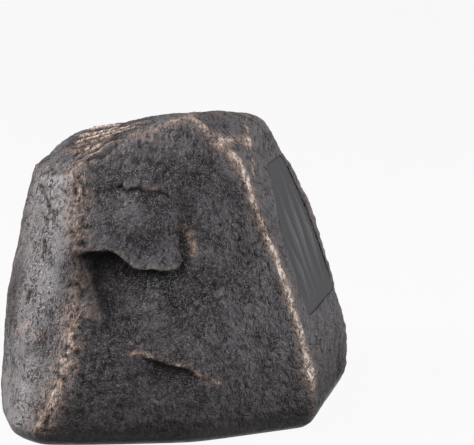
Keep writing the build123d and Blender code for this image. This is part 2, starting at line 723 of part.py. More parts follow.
with BuildPart() as front_grille:
    for place in fold_places:
        section = fold_section(place)
        with BuildSketch(section):
            add(fold_profile(place, 0))
        revolve(axis=Axis(section.origin, section.y_dir))
    split(bisect_by=face.offset(grille_back), keep=Keep.TOP)
    with BuildSketch(face.offset(grille_back)):
        add(panel(PANEL_GAP + FIT, PANEL_CORNER))
    extrude(amount=SHEET)
    for place in fold_places:
        section = fold_section(place)
        with BuildSketch(section):
            add(fold_profile(place, SHEET))
        revolve(axis=Axis(section.origin, section.y_dir), mode=Mode.SUBTRACT)
    with BuildSketch(face.offset(grille_back)):
        add(panel(PANEL_GAP + BAFFLE_RIM + FIT, PANEL_CORNER))
        add(panel(PANEL_GAP + BAFFLE_RIM + FIT + SHEET, PANEL_CORNER), mode=Mode.SUBTRACT)
    extrude(amount=-LIP)
    with BuildSketch(face.offset(grille_back)):
        with Locations(*[place for place in slot_places if inside_field(place)]):
            Rectangle(SLOT_LENGTH, SLOT_WIDTH)
    extrude(amount=SHEET + FOLD_RISE, mode=Mode.SUBTRACT)
front_grille.part.label = "front_grille"
export_step(front_grille.part, "parts/front_grille.step")

with BuildPart() as grille_scrim:
    with BuildSketch(face.offset(grille_back)):
        add(panel(PANEL_GAP + BAFFLE_RIM + SHEET + 2 * FIT, PANEL_CORNER))
    extrude(amount=-SCRIM)
grille_scrim.part.label = "grille_scrim"
export_step(grille_scrim.part, "parts/grille_scrim.step")

# Woofer: radii from its axis, and depths of its basket and motor
spider_r = SPIDER_D / 2
cup_r = BASKET_CUP_D / 2
coil_r = COIL_D / 2
former_r = coil_r + FORMER_WALL
winding_r = former_r + GLUE + WINDING
gap_r = winding_r + COIL_GAP
spider_seat = flange_back - BASKET_DEPTH
basket_back = spider_seat - BASKET_CUP_DEPTH
top_plate_back = basket_back - PLATE
magnet_back = top_plate_back - MAGNET
yoke_back = magnet_back - PLATE
former_bottom = magnet_back + COIL_TRAVEL + COIL_END
former_top = former_bottom + FORMER_LENGTH
winding_mid = (basket_back + top_plate_back) / 2
cone_neck = former_top - 2 * CONE

with BuildPart() as woofer_basket:
    with BuildSketch(woofer_cut):
        with BuildLine():
            Polyline(
                (mouth_r, baffle_front),
                (woofer_r, baffle_front),
                (woofer_r, flange_back),
                (throat_r, flange_back),
                (spider_r + BASKET_WALL, spider_seat),
                (spider_r + BASKET_WALL, spider_seat - BASKET_WALL),
                (cup_r, spider_seat - BASKET_WALL),
                (cup_r, basket_back),
                (gap_r + FIT, basket_back),
                (gap_r + FIT, basket_back + BASKET_WALL),
                (cup_r - BASKET_WALL, basket_back + BASKET_WALL),
                (cup_r - BASKET_WALL, spider_seat),
                (spider_r + FIT, spider_seat),
                (throat_r - BASKET_WALL, flange_back),
                (mouth_r, flange_back),
                close=True,
            )
        make_face()
    revolve(axis=woofer_axis)
    with BuildSketch(face.offset(spider_seat + BASKET_WALL)):
        with Locations((woofer_u, woofer_v)):
            with PolarLocations((throat_r + spider_r) / 2, WINDOWS):
                Rectangle(throat_r - spider_r + WINDOW_WIDTH / 2, WINDOW_WIDTH)
    extrude(amount=BASKET_DEPTH - 2 * BASKET_WALL, mode=Mode.SUBTRACT)
    with BuildSketch(face.offset(flange_back)):
        with Locations((woofer_u, woofer_v)):
            with PolarLocations(screw_circle_r, WOOFER_SCREWS, 45):
                Circle(woofer_screw_hole)
    extrude(amount=WOOFER_FLANGE, mode=Mode.SUBTRACT)
woofer_basket.part.label = "woofer_basket"
export_step(woofer_basket.part, "parts/woofer_basket.step")

with BuildPart() as woofer_gasket:
    with BuildSketch(face.offset(recess_floor)):
        with Locations((woofer_u, woofer_v)):
            Circle(woofer_r)
            Circle(cutout_r, mode=Mode.SUBTRACT)
            with PolarLocations(screw_circle_r, WOOFER_SCREWS, 45):
                Circle(woofer_screw_hole, mode=Mode.SUBTRACT)
    extrude(amount=GASKET)
woofer_gasket.part.label = "woofer_gasket"
export_step(woofer_gasket.part, "parts/woofer_gasket.step")

with BuildPart() as woofer_screws:
    with BuildSketch(face.offset(baffle_front)):
        with Locations((woofer_u, woofer_v)):
            with PolarLocations(screw_circle_r, WOOFER_SCREWS, 45):
                Circle(WOOFER_SCREW_HEAD_D / 2)
    extrude(amount=WOOFER_SCREW_HEAD)
    with BuildSketch(face.offset(baffle_front)):
        with Locations((woofer_u, woofer_v)):
            with PolarLocations(screw_circle_r, WOOFER_SCREWS, 45):
                Circle(WOOFER_SCREW_D / 2)
    extrude(amount=-BAFFLE_THICK)
woofer_screws.part.label = "woofer_screws"
export_step(woofer_screws.part, "parts/woofer_screws.step")

with BuildPart() as woofer_top_plate:
    with BuildSketch(face.offset(top_plate_back)):
        with Locations((woofer_u, woofer_v)):
            Circle(PLATE_D / 2)
            Circle(gap_r, mode=Mode.SUBTRACT)
    extrude(amount=PLATE)
woofer_top_plate.part.label = "woofer_top_plate"
export_step(woofer_top_plate.part, "parts/woofer_top_plate.step")

with BuildPart() as woofer_magnet:
    with BuildSketch(face.offset(magnet_back)):
        with Locations((woofer_u, woofer_v)):
            Circle(MAGNET_D / 2)
            Circle(MAGNET_BORE_D / 2, mode=Mode.SUBTRACT)
    extrude(amount=MAGNET)
woofer_magnet.part.label = "woofer_magnet"
export_step(woofer_magnet.part, "parts/woofer_magnet.step")

with BuildPart() as woofer_yoke:
    with BuildSketch(face.offset(yoke_back)):
        with Locations((woofer_u, woofer_v)):
            Circle(PLATE_D / 2)
    extrude(amount=PLATE)
    with BuildSketch(face.offset(magnet_back)):
        with Locations((woofer_u, woofer_v)):
            Circle(POLE_D / 2)
    extrude(amount=MAGNET + PLATE)
    with BuildSketch(face.offset(yoke_back)):
        with Locations((woofer_u, woofer_v)):
            Circle(POLE_VENT_D / 2)
    extrude(amount=2 * PLATE + MAGNET, mode=Mode.SUBTRACT)
woofer_yoke.part.label = "woofer_yoke"
export_step(woofer_yoke.part, "parts/woofer_yoke.step")

with BuildPart() as voice_coil_former:
    with BuildSketch(face.offset(former_bottom)):
        with Locations((woofer_u, woofer_v)):
            Circle(former_r)
            Circle(coil_r, mode=Mode.SUBTRACT)
    extrude(amount=FORMER_LENGTH)
voice_coil_former.part.label = "voice_coil_former"
export_step(voice_coil_former.part, "parts/voice_coil_former.step")

with BuildPart() as voice_coil_winding:
    with BuildSketch(face.offset(winding_mid - WINDING_LENGTH / 2)):
        with Locations((woofer_u, woofer_v)):
            Circle(winding_r)
            Circle(former_r + GLUE, mode=Mode.SUBTRACT)
    extrude(amount=WINDING_LENGTH)
voice_coil_winding.part.label = "voice_coil_winding"
export_step(voice_coil_winding.part, "parts/voice_coil_winding.step")

# Cone: from a neck on the former out to a flat lip under the surround
lip_r = cone_r - CONE_LIP
neck_r = former_r + GLUE
with BuildPart() as woofer_cone:
    with BuildSketch(woofer_cut):
        with BuildLine():
            Polyline(
                (neck_r, cone_neck),
                (lip_r, baffle_front - CONE),
                (cone_r, baffle_front - CONE),
                (cone_r, baffle_front),
                (lip_r - CONE, baffle_front),
                (neck_r, cone_neck + 1.5 * CONE),
                close=True,
            )
        make_face()
    revolve(axis=woofer_axis)
woofer_cone.part.label = "woofer_cone"
export_step(woofer_cone.part, "parts/woofer_cone.step")

# Dust cap: a dome whose rim sits on the front of the cone
cap_r = DUST_CAP_D / 2
cone_steepness = (baffle_front - cone_neck - 1.5 * CONE) / (lip_r - CONE - neck_r)
cap_rim = cone_neck + 1.5 * CONE + cone_steepness * (cap_r - neck_r) + GLUE
with BuildPart() as woofer_dust_cap:
    with BuildSketch(woofer_cut):
        with BuildLine():
            Polyline(*dome_steps(cap_r, DUST_CAP_RISE, DUST_CAP, cap_rim), close=True)
        make_face()
    revolve(axis=woofer_axis)
woofer_dust_cap.part.label = "woofer_dust_cap"
export_step(woofer_dust_cap.part, "parts/woofer_dust_cap.step")

# Surround: a half roll of rubber between the lip of the cone and the mouth of the basket
roll_mid = (cone_r + mouth_r) / 2
roll_r = (mouth_r - cone_r) / 2
surround_top = baffle_front + SURROUND
with BuildPart() as woofer_surround:
    with BuildSketch(woofer_cut):
        with BuildLine():
            Polyline(
                (lip_r, surround_top),
                (lip_r, baffle_front),
                *roll_steps(roll_mid, roll_r, roll_r - SURROUND, baffle_front),
                (mouth_r + SURROUND_LAND, baffle_front),
                (mouth_r + SURROUND_LAND, surround_top),
                *reversed(roll_steps(roll_mid, roll_r + SURROUND, roll_r - SURROUND, surround_top)),
                close=True,
            )
        make_face()
    revolve(axis=woofer_axis)
woofer_surround.part.label = "woofer_surround"
export_step(woofer_surround.part, "parts/woofer_surround.step")

# Spider: a corrugated cloth ring between the former and the seat in the basket
spider_land_r = spider_r - SPIDER_LAND
spider_step = (spider_land_r - neck_r) / (SPIDER_WAVES * 2 + 1)
spider_upper = [(spider_r, spider_seat + SPIDER), (spider_land_r, spider_seat + SPIDER)]
spider_lower = [(spider_r, spider_seat), (spider_land_r, spider_seat)]
for i in range(SPIDER_WAVES * 2):
    wave_r = spider_land_r - spider_step * (i + 1)
    wave_w = spider_seat + SPIDER_WAVE * (1 - 2 * (i % 2))
    spider_upper.append((wave_r, wave_w + SPIDER))
    spider_lower.append((wave_r, wave_w))
spider_upper.append((neck_r, spider_seat + SPIDER))
spider_lower.append((neck_r, spider_seat))
with BuildPart() as woofer_spider:
    with BuildSketch(woofer_cut):
        with BuildLine():
            Polyline(*spider_upper, *reversed(spider_lower), close=True)
        make_face()
    revolve(axis=woofer_axis)
woofer_spider.part.label = "woofer_spider"
export_step(woofer_spider.part, "parts/woofer_spider.step")

# Terminals: an insulating strip on the cup of the basket, with two brass tabs
strip_mid_w = (basket_back + spider_seat - BASKET_WALL) / 2
strip_r = cup_r + GLUE
with BuildPart() as woofer_terminals:
    with BuildSketch(face.offset(strip_mid_w - TERMINAL_HEIGHT / 2)):
        with Locations((woofer_u, woofer_v - strip_r)):
            Rectangle(TERMINAL_SPAN, TERMINAL_STRIP, align=(Align.CENTER, Align.MAX))
    extrude(amount=TERMINAL_HEIGHT)
    with BuildSketch(face.offset(strip_mid_w - TERMINAL_TAB / 2)):
        with Locations((woofer_u, woofer_v - strip_r - TERMINAL_STRIP)):
            with GridLocations(TERMINAL_SPAN / 2, 0, 2, 1):
                Rectangle(TERMINAL_TAB_WIDTH, TERMINAL_TAB_LENGTH, align=(Align.CENTER, Align.MAX))
    extrude(amount=TERMINAL_TAB)
woofer_terminals.part.label = "woofer_terminals"
export_step(woofer_terminals.part, "parts/woofer_terminals.step")

# Tweeter: a faceplate with a shallow horn, and a skirt behind it that holds the pot
pot_front = flange_back - DOME
pot_back = pot_front - POT_DEPTH
with BuildPart() as tweeter_faceplate:
    with BuildSketch(tweeter_cut):
        with BuildLine():
            Polyline(
                (horn_r, flange_back),
                (skirt_r, flange_back),
                (skirt_r, flange_back - SKIRT_DEPTH),
                (skirt_r + SKIRT, flange_back - SKIRT_DEPTH),
                (skirt_r + SKIRT, flange_back),
                (tweeter_r, flange_back),
                (tweeter_r, baffle_front),
                (horn_r + WOOFER_FLANGE, baffle_front),
                (horn_r, flange_back + SKIRT),
                close=True,
            )
        make_face()
    revolve(axis=tweeter_axis)
    with BuildSketch(face.offset(flange_back)):
        with Locations((tweeter_u, tweeter_v)):
            with PolarLocations(tweeter_circle_r, TWEETER_SCREWS, 90):
                Circle(tweeter_screw_hole)
    extrude(amount=WOOFER_FLANGE, mode=Mode.SUBTRACT)
tweeter_faceplate.part.label = "tweeter_faceplate"
export_step(tweeter_faceplate.part, "parts/tweeter_faceplate.step")

with BuildPart() as tweeter_gasket:
    with BuildSketch(face.offset(recess_floor)):
        with Locations((tweeter_u, tweeter_v)):
            Circle(tweeter_r)
            Circle(tweeter_cutout_r, mode=Mode.SUBTRACT)
            with PolarLocations(tweeter_circle_r, TWEETER_SCREWS, 90):
                Circle(tweeter_screw_hole, mode=Mode.SUBTRACT)
    extrude(amount=GASKET)
tweeter_gasket.part.label = "tweeter_gasket"
export_step(tweeter_gasket.part, "parts/tweeter_gasket.step")

with BuildPart() as tweeter_screws:
    with BuildSketch(face.offset(baffle_front)):
        with Locations((tweeter_u, tweeter_v)):
            with PolarLocations(tweeter_circle_r, TWEETER_SCREWS, 90):
                Circle(TWEETER_SCREW_HEAD_D / 2)
    extrude(amount=TWEETER_SCREW_HEAD)
    with BuildSketch(face.offset(baffle_front)):
        with Locations((tweeter_u, tweeter_v)):
            with PolarLocations(tweeter_circle_r, TWEETER_SCREWS, 90):
                Circle(TWEETER_SCREW_D / 2)
    extrude(amount=-BAFFLE_THICK)
tweeter_screws.part.label = "tweeter_screws"
export_step(tweeter_screws.part, "parts/tweeter_screws.step")

# Dome: a soft cap whose flat rim is held between the faceplate and the pot
with BuildPart() as tweeter_dome:
    with BuildSketch(tweeter_cut):
        with BuildLine():
            Polyline(*dome_steps(dome_r, DOME_RISE, DOME, flange_back), close=True)
        make_face()
    revolve(axis=tweeter_axis)
    with BuildSketch(face.offset(pot_front)):
        with Locations((tweeter_u, tweeter_v)):
            Circle(pot_r)
            Circle(dome_r - DOME, mode=Mode.SUBTRACT)
    extrude(amount=DOME)
tweeter_dome.part.label = "tweeter_dome"
export_step(tweeter_dome.part, "parts/tweeter_dome.step")

with BuildPart() as tweeter_voice_coil:
    with BuildSketch(face.offset(pot_front)):
        with Locations((tweeter_u, tweeter_v)):
            Circle(dome_r + TWEETER_COIL)
            Circle(dome_r, mode=Mode.SUBTRACT)
    extrude(amount=-TWEETER_COIL_LENGTH)
tweeter_voice_coil.part.label = "tweeter_voice_coil"
export_step(tweeter_voice_coil.part, "parts/tweeter_voice_coil.step")

with BuildPart() as tweeter_pot:
    with BuildSketch(face.offset(pot_back)):
        with Locations((tweeter_u, tweeter_v)):
            Circle(pot_r)
    extrude(amount=POT_DEPTH)
    with BuildSketch(face.offset(pot_back + POT_FLOOR)):
        with Locations((tweeter_u, tweeter_v)):
            Circle(pot_r - POT_WALL)
    extrude(amount=POT_DEPTH - POT_FLOOR, mode=Mode.SUBTRACT)
tweeter_pot.part.label = "tweeter_pot"
export_step(tweeter_pot.part, "parts/tweeter_pot.step")

tweeter_magnet_thick = POT_DEPTH - POT_FLOOR - TWEETER_POLE - TWEETER_POLE_DROP
with BuildPart() as tweeter_magnet:
    with BuildSketch(face.offset(pot_back + POT_FLOOR)):
        with Locations((tweeter_u, tweeter_v)):
            Circle(tweeter_magnet_r)
    extrude(amount=tweeter_magnet_thick)
tweeter_magnet.part.label = "tweeter_magnet"
export_step(tweeter_magnet.part, "parts/tweeter_magnet.step")

with BuildPart() as tweeter_pole:
    with BuildSketch(face.offset(pot_back + POT_FLOOR + tweeter_magnet_thick)):
        with Locations((tweeter_u, tweeter_v)):
            Circle(tweeter_pole_r)
    extrude(amount=TWEETER_POLE)
tweeter_pole.part.label = "tweeter_pole"
export_step(tweeter_pole.part, "parts/tweeter_pole.step")

# Crossover: a board on the posts, with two coils, two capacitors, a resistor and a terminal strip
with BuildPart() as crossover_board:
    with BuildSketch(Plane.XY.offset(post_top)):
        with Locations((BOARD_X, BOARD_Y)):
            Rectangle(BOARD_LENGTH, BOARD_WIDTH)
            with GridLocations(board_span_x, board_span_y, 2, 2):
                Circle(board_screw_hole, mode=Mode.SUBTRACT)
    extrude(amount=BOARD)
crossover_board.part.label = "crossover_board"
export_step(crossover_board.part, "parts/crossover_board.step")

with BuildPart() as board_screws:
    with BuildSketch(Plane.XY.offset(board_top)):
        with Locations((BOARD_X, BOARD_Y)):
            with GridLocations(board_span_x, board_span_y, 2, 2):
                Circle(BOARD_SCREW_HEAD_D / 2)
    extrude(amount=BOARD_SCREW_HEAD)
    with BuildSketch(Plane.XY.offset(board_top)):
        with Locations((BOARD_X, BOARD_Y)):
            with GridLocations(board_span_x, board_span_y, 2, 2):
                Circle(BOARD_SCREW_D / 2)
    extrude(amount=-BOARD - BOARD_SCREW_BITE)
board_screws.part.label = "board_screws"
export_step(board_screws.part, "parts/board_screws.step")

# Places of the components, from the middle of the board
row_y = BOARD_WIDTH / 2 - POST_INSET - POST_D / 2
woofer_coil_x = -BOARD_LENGTH / 2 + PART_GAP + WOOFER_COIL_D / 2 + POST_INSET
tweeter_coil_x = woofer_coil_x + WOOFER_COIL_D / 2 + PART_GAP + TWEETER_COIL_D / 2
capacitor_x = tweeter_coil_x + TWEETER_COIL_D / 2 + PART_GAP + CAPACITOR_WIDTH / 2
with BuildPart() as woofer_inductor:
    with BuildSketch(Plane.XY.offset(board_top)):
        with Locations((BOARD_X + woofer_coil_x, BOARD_Y)):
            Circle(WOOFER_COIL_D / 2)
            Circle(BOBBIN_BORE_D / 2, mode=Mode.SUBTRACT)
    extrude(amount=WOOFER_COIL_HEIGHT)
woofer_inductor.part.label = "woofer_inductor"
export_step(woofer_inductor.part, "parts/woofer_inductor.step")

with BuildPart() as tweeter_inductor:
    with BuildSketch(Plane.XY.offset(board_top)):
        with Locations((BOARD_X + tweeter_coil_x, BOARD_Y)):
            Circle(TWEETER_COIL_D / 2)
            Circle(BOBBIN_BORE_D / 2, mode=Mode.SUBTRACT)
    extrude(amount=TWEETER_COIL_HEIGHT)
tweeter_inductor.part.label = "tweeter_inductor"
export_step(tweeter_inductor.part, "parts/tweeter_inductor.step")

with BuildPart() as film_capacitors:
    with BuildSketch(Plane.XY.offset(board_top)):
        with Locations((BOARD_X + capacitor_x, BOARD_Y)):
            with GridLocations(0, CAPACITOR_LENGTH + PART_GAP, 1, 2):
                RectangleRounded(CAPACITOR_WIDTH, CAPACITOR_LENGTH, SHEET)
    extrude(amount=CAPACITOR_HEIGHT)
film_capacitors.part.label = "film_capacitors"
export_step(film_capacitors.part, "parts/film_capacitors.step")

with BuildPart() as cement_resistor:
    with BuildSketch(Plane.XY.offset(board_top)):
        with Locations((BOARD_X + (woofer_coil_x + tweeter_coil_x) / 2, BOARD_Y + row_y)):
            Rectangle(RESISTOR_LENGTH, RESISTOR_SIDE)
    extrude(amount=RESISTOR_SIDE)
cement_resistor.part.label = "cement_resistor"
export_step(cement_resistor.part, "parts/cement_resistor.step")

with BuildPart() as terminal_strip:
    with BuildSketch(Plane.XY.offset(board_top)):
        with Locations((BOARD_X + (woofer_coil_x + tweeter_coil_x) / 2, BOARD_Y - row_y)):
            Rectangle(STRIP_LENGTH, STRIP_WIDTH)
    extrude(amount=STRIP_HEIGHT)
    with BuildSketch(Plane.XY.offset(board_top + STRIP_HEIGHT)):
        with Locations((BOARD_X + (woofer_coil_x + tweeter_coil_x) / 2, BOARD_Y - row_y)):
            with GridLocations(STRIP_LENGTH / STRIP_WAYS, 0, STRIP_WAYS, 1):
                Circle(BOARD_SCREW_D / 2)
    extrude(amount=-STRIP_HEIGHT / 2, mode=Mode.SUBTRACT)
terminal_strip.part.label = "terminal_strip"
export_step(terminal_strip.part, "parts/terminal_strip.step")
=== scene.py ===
import json
import math
import bpy
import numpy as np
from mathutils import Matrix, Vector


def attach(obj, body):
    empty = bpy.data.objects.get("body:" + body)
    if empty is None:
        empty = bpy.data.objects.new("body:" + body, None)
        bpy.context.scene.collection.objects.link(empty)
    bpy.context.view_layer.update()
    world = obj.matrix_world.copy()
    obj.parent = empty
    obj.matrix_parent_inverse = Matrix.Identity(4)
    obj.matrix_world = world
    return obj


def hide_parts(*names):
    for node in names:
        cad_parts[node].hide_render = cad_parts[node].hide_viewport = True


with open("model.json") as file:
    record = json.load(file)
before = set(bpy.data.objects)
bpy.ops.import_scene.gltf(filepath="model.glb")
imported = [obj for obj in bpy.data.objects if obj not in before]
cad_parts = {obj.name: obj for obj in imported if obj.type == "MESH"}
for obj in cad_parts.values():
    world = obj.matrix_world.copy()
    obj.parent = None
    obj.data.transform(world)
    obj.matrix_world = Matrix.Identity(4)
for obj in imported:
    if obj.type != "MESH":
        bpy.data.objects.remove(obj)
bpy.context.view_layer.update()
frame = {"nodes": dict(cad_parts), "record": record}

# Shapes are worked out in millimetres in the part's frame, and meshes are in metres.
MM = 0.001

# The photograph's frame, and the camera that was fitted to the rock's outline and ridges.
IMAGE_WIDTH = 474
LENS_PIXELS = 1700.0
CAMERA_AT = (555.8, -1705.7, 624.0)
CAMERA_BACK = (0.2985, -0.9186, 0.2588)
CAMERA_RIGHT = (0.951, 0.309, 0.0)
CAMERA_UP = (-0.08, 0.2461, 0.9659)
AIM_RIGHT = 64.0
AIM_UP = 55.5
SENSOR_WIDTH = 36.0
FAR_CLIP = 100.0

# Rock: each ridge as a point on the foot, waist, shoulder and crown outlines, and the heights of those.
LEVELS = np.array((15.0, 110.0, 200.0, 345.0))
RIDGES = np.array((
    ((169, -40), (160, -44), (130, -42), (79, -54)),
    ((168, 126), (159, 131), (131, 131), (81, 48)),
    ((115, 172), (108, 168), (84, 142), (33, 76)),
    ((-87, 172), (-87, 166), (-79, 140), (-53, 80)),
    ((-162, 76), (-166, 68), (-154, 50), (-109, 6)),
    ((-162, -102), (-167, -76), (-157, -57), (-123, -24)),
    ((-130, -154), (-120, -122), (-116, -93), (-100, -46)),
    ((-92, -172), (-60, -147), (-70, -117), (-70, -60)),
    ((-62, -166), (-36, -140), (-46, -112), (-44, -60)),
    ((63, -121), (62, -110), (49, -88), (37, -52)),
), float)

# Facets: bearing and rise of the way each looks, and its reach from the origin.
FACETS = (
    (0.0, 20.0, 185.4),
    (215.9, 64.4, 302.7),
    (-14.3, 44.1, 271.3),
    (118.3, 74.5, 311.8),
    (95.0, 40.0, 252.0),
)

# Roll of the foot, rounding of the edges, and what a level distance counts across a leaning side.
FOOT_ROLL = ((0.0, 5.0, 15.0), (10.0, 4.0, 0.0))
EDGE_SOFTNESS = 2.6
SIDE_LEAN = 0.96

# Rays that find the skin: rows below and above the spring height, and how they crowd away from the back.
SPRING_Z = 150.0
SKIN_COLUMNS = 470
SKIN_LOW_ROWS = 72
SKIN_HIGH_ROWS = 124
BACK_BEARING = math.radians(108.0)
CROWDING = 0.42
RAY_REACH = 330.0
RAY_HALVINGS = 26
CROWN_LIFT = 0.2

# Hollow inside the rock: its wall, its floor, its grid and the rounding of its edges.
WALL = 25.0
CAVITY_Z = 18.0
CAVITY_GRID = (90, 20, 30)
CAVITY_SOFTNESS = 2.0

# Base opening and cable notch under the foot, as in the solids, and how far one cut runs into the next.
BASE_RIM = 17.0
BASE_LOW = -6.0
FLANGE_RIM = 33.0
FLANGE_Z = 12.0
OVERLAP = 2.0
CAVITY_OVERLAP = 6.0
NOTCH_X = (-45.0, -35.0)
NOTCH_Y = (85.0, 200.0)
NOTCH_Z = (-6.0, 8.0)

# Grille panel on the right, as in the solids: its plane, its outline, and the pocket and ledge behind it.
PANEL_LEAN = 20.0
PANEL_REACH = 185.4
PANEL_Y = 54.0
PANEL_Z = 190.0
PANEL_CORNERS = np.array((
    (-59.0, -81.0), (63.0, -81.0), (63.0, 12.0), (40.0, 85.0), (-24.0, 85.0), (-59.0, 4.0),
))
PANEL_SOFTNESS = 3.4
PANEL_SEARCH = 220.0
PANEL_HALVINGS = 30
POCKET_MOUTH = 30.0
POCKET_DEPTH = 90.0
POCKET_TURNS = 140
LEDGE_DEPTH = 24.0
LEDGE_WIDTH = 11.0
LEDGE_TURNS = 60

# Grille sheet: the depth of its face, its rings from the middle out, and the rim that turns back.
GRILLE_FRONT = -1.2
SHEET = 1.0
GRILLE_GAP = 0.3
GRILLE_RINGS = 64
GRILLE_TURNS = 220
GRILLE_MIDDLE = 0.012
GRILLE_FADE = 0.9
GRILLE_FLAT = 0.985
RETURN_SHARES = (0.9935, 0.998, 1.0, 1.0, 1.0)
RETURN_DROPS = (0.15, 0.5, 1.1, 2.0, 5.0)

# Soft upright folds of the sheet: where they stand, their tops and foot, their form, and how they sway.
FOLD_PLACES = (-41.75, -16.75, 8.25, 33.25)
FOLD_TOPS = (4.0, 61.9, 74.0, 55.8)
FOLD_FOOT = -70.0
FOLD_RISE = 4.4
FOLD_HALF = 9.5
FOLD_THIN = 0.45
FOLD_TAPER = 0.8
FOLD_SWAY = 3.5
SWAY_TURN = 1.3
SWAY_STEP = 1.9

# Weathering of the rock, as lines and places on its surface in mm.
CHEEK_LIP = ((-78, -122, 185), (-67, -117, 197), (-55, -113, 201), (-35, -109, 201), (-18, -106, 195),
             (-5, -106, 187), (7, -104, 184), (20, -101, 182), (32, -93, 186), (45, -87, 196),
             (52, -85, 204))
LOWER_RIDGE = ((-4, -133, 99), (5, -131, 97), (18, -127, 93), (33, -124, 88), (58, -117, 78),
               (82, -105, 65))
FOREHEAD_CRACK = ((-53, -92, 257), (-28, -85, 262), (-21, -85, 258), (-10, -82, 261), (0, -81, 256),
                  (13, -78, 257), (20, -77, 255), (26, -78, 248))
VALLEY = ((37, -70, 268), (37, -75, 249), (39, -81, 227), (41, -87, 206), (42, -94, 188))
LEFT_CRACKS = (
    ((-128, -62, 253), (-116, -76, 246), (-106, -87, 234)),
    ((-89, -90, 257), (-86, -93, 250)),
    ((-113, -86, 224), (-109, -90, 218)),
    ((-111, -94, 204), (-108, -102, 184)),
    ((-124, -104, 150), (-126, -107, 132)),
)
LOBE_RIM = ((-140, -104, 98), (-136, -109, 104), (-119, -119, 118), (-102, -127, 114), (-94, -133, 98))
KNOB = (-46.0, -134.0, 138.0)
BROW = (-15.0, -92.0, 235.0)
HOLLOW = (-53.0, -116.0, 178.0)
FLAP = (-48.0, -126.0, 156.0)
STRATA = (
    ((-72, -76, 286), (-56, -74, 293), (-40, -58, 304)),
    ((-84, -66, 285), (-66, -62, 293), (-43, -47, 306)),
    ((-93, -55, 284), (-77, -50, 292), (-48, -36, 307)),
    ((-102, -34, 287), (-77, -37, 297), (-48, -31, 309), (-15, -42, 319)),
    ((-110, -12, 290), (-76, -23, 301), (-46, -26, 311), (-6, -39, 323)),
    ((-109, 5, 294), (-78, -12, 303), (-50, -17, 312)),
    ((-106, 20, 300), (-82, 8, 306), (-53, -7, 313)),
)
STRATA_FRONT = np.array((-0.268, -0.897, -0.355))
FRONT_RIDGE = ((-78, -62, 287), (-69, -98, 247), (-67, -114, 207), (-61, -126, 168), (-62, -134, 140),
               (-64, -149, 100), (-80, -162, 52), (-92, -170, 20))
RIGHT_RIDGE = ((38, -54, 336), (64, -52, 313), (89, -48, 289), (113, -45, 231), (136, -44, 169),
               (157, -45, 112), (169, -42, 52))
CROWN_EDGE = ((-128, -8, 287), (-90, -50, 288), (-50, -62, 301), (-5, -56, 321), (38, -54, 336))
CORNER_FOOT = ((68, -48, 309), (78, -24, 306), (88, -4, 301))
CORNER_SIDE = ((76, 31, 322), (81, 18, 314), (85, 7, 307), (91, -7, 292), (98, -21, 271))
SLAB_EDGE = ((40, -79, 236), (41, -80, 224), (47, -84, 209), (52, -87, 196))
LEFT_EDGE = ((-162, -102, 15), (-167, -76, 110), (-157, -57, 200), (-136, -35, 270))

# Stray of drawn lines: grain and reach in mm of the noise that moves them, and its start on the lattice.
WANDER = (22.0, 4.0, 1.7)
FINE = (7.0, 1.6, 9.2)
SEAM_STRAY = (16.0, 4.0, 13.0)
FOREHEAD_STRAY = (14.0, 2.0, 6.1)
GROOVE_STRAY = (10.0, 1.4, 6.6)
CRACK_STRAY = (17.0, 2.4, 3.3)
BRUSH_STRAY = (12.0, 3.0, 2.9)
EDGE_STRAY = (16.0, 5.0, 7.7)
BROW_HIGHLIGHT_STRAY = (14.0, 5.0, 4.4)

# Limits of the normal's parts within which a place comes to belong to the left face and to the top.
LEFT_X = (0.15, 0.45)
LEFT_Y = (0.1, 0.5)
LEFT_Z = (0.45, 0.65)
TOP_Z = (0.55, 0.85)

# Where the weathering is calmer: what the left face, the top and the right ridge take from the coarse
# noise, what is left at the grille's rim, and the limits in mm over which it comes back from rim and foot.
LEFT_LOSS = 0.65
TOP_LOSS = 0.4
RIDGE_LOSS = 0.6
RIDGE_WIDTH = 9.0
RIM_SHARE = 0.3
RIM_LIMITS = (0.0, 14.0)
BEHIND_LIMITS = (-150.0, -130.0)
FOOT_LIMITS = (2.0, 24.0)
NORMAL_ROUNDS = 2

# Lumps: height and grain in mm, layers of noise, and its start on the lattice.
SWELL = (2.4, 74.0, 1, 0.3)
LUMPS = ((2.2, 37.0, 1, 4.1), (1.2, 19.0, 2, 2.2))
CRUMBS = (0.5, 5.0, 2, 11.0)
BEVEL_LUMPS = (1.3, 13.0, 3, 8.8)
BEVEL_WIDTH = 13.0
CREST_NOISE = (12.0, 3, 5.5)
CREST_HEIGHT = 0.9
CREST_LEVEL = 0.5
CREST_GAIN = 1.6
SEAM_NOISE = (26.0, 2, 15.5)
SEAM_WIDTH = 0.05
SEAM_DEPTH = 1.2

# Patches: grain in mm, start on the lattice, and the limits of the noise between which they come in.
SEAM_PATCHES = (48.0, 19.0, -0.1, 0.3)
POCKS = (5.0, 17.0, 0.48, 0.7)
POCK_DEPTH = 1.1
POCK_STRETCH = (1.0, 1.0, 0.45)
CHIPS = (8.0, 3.9, 0.1, 0.5)
CHIP_DEPTH = 1.8

# Breaks: the lip's line and stray, depth and run of the cut below it, the parts of its length over which
# it eases out at its two ends, and how far the lip leans out and hangs down.
BREAKS = (
    (CHEEK_LIP, WANDER, 12.0, 84.0, (0.34, 0.4), 2.4, 4.5),
    (LOWER_RIDGE, WANDER, 5.5, 46.0, (0.4, 0.5), 1.0, 2.0),
    (FOREHEAD_CRACK, FOREHEAD_STRAY, 2.4, 26.0, (0.35, 0.45), 0.6, 1.2),
)
BREAK_START = (-0.5, 4.5)
BREAK_FULL = 0.1
BREAK_REACH = 1.35
LIP_RISE = (-15.0, -1.0)
LIP_FALL = (-0.5, 2.5)
LIP_REACH = (12.0, 18.0)

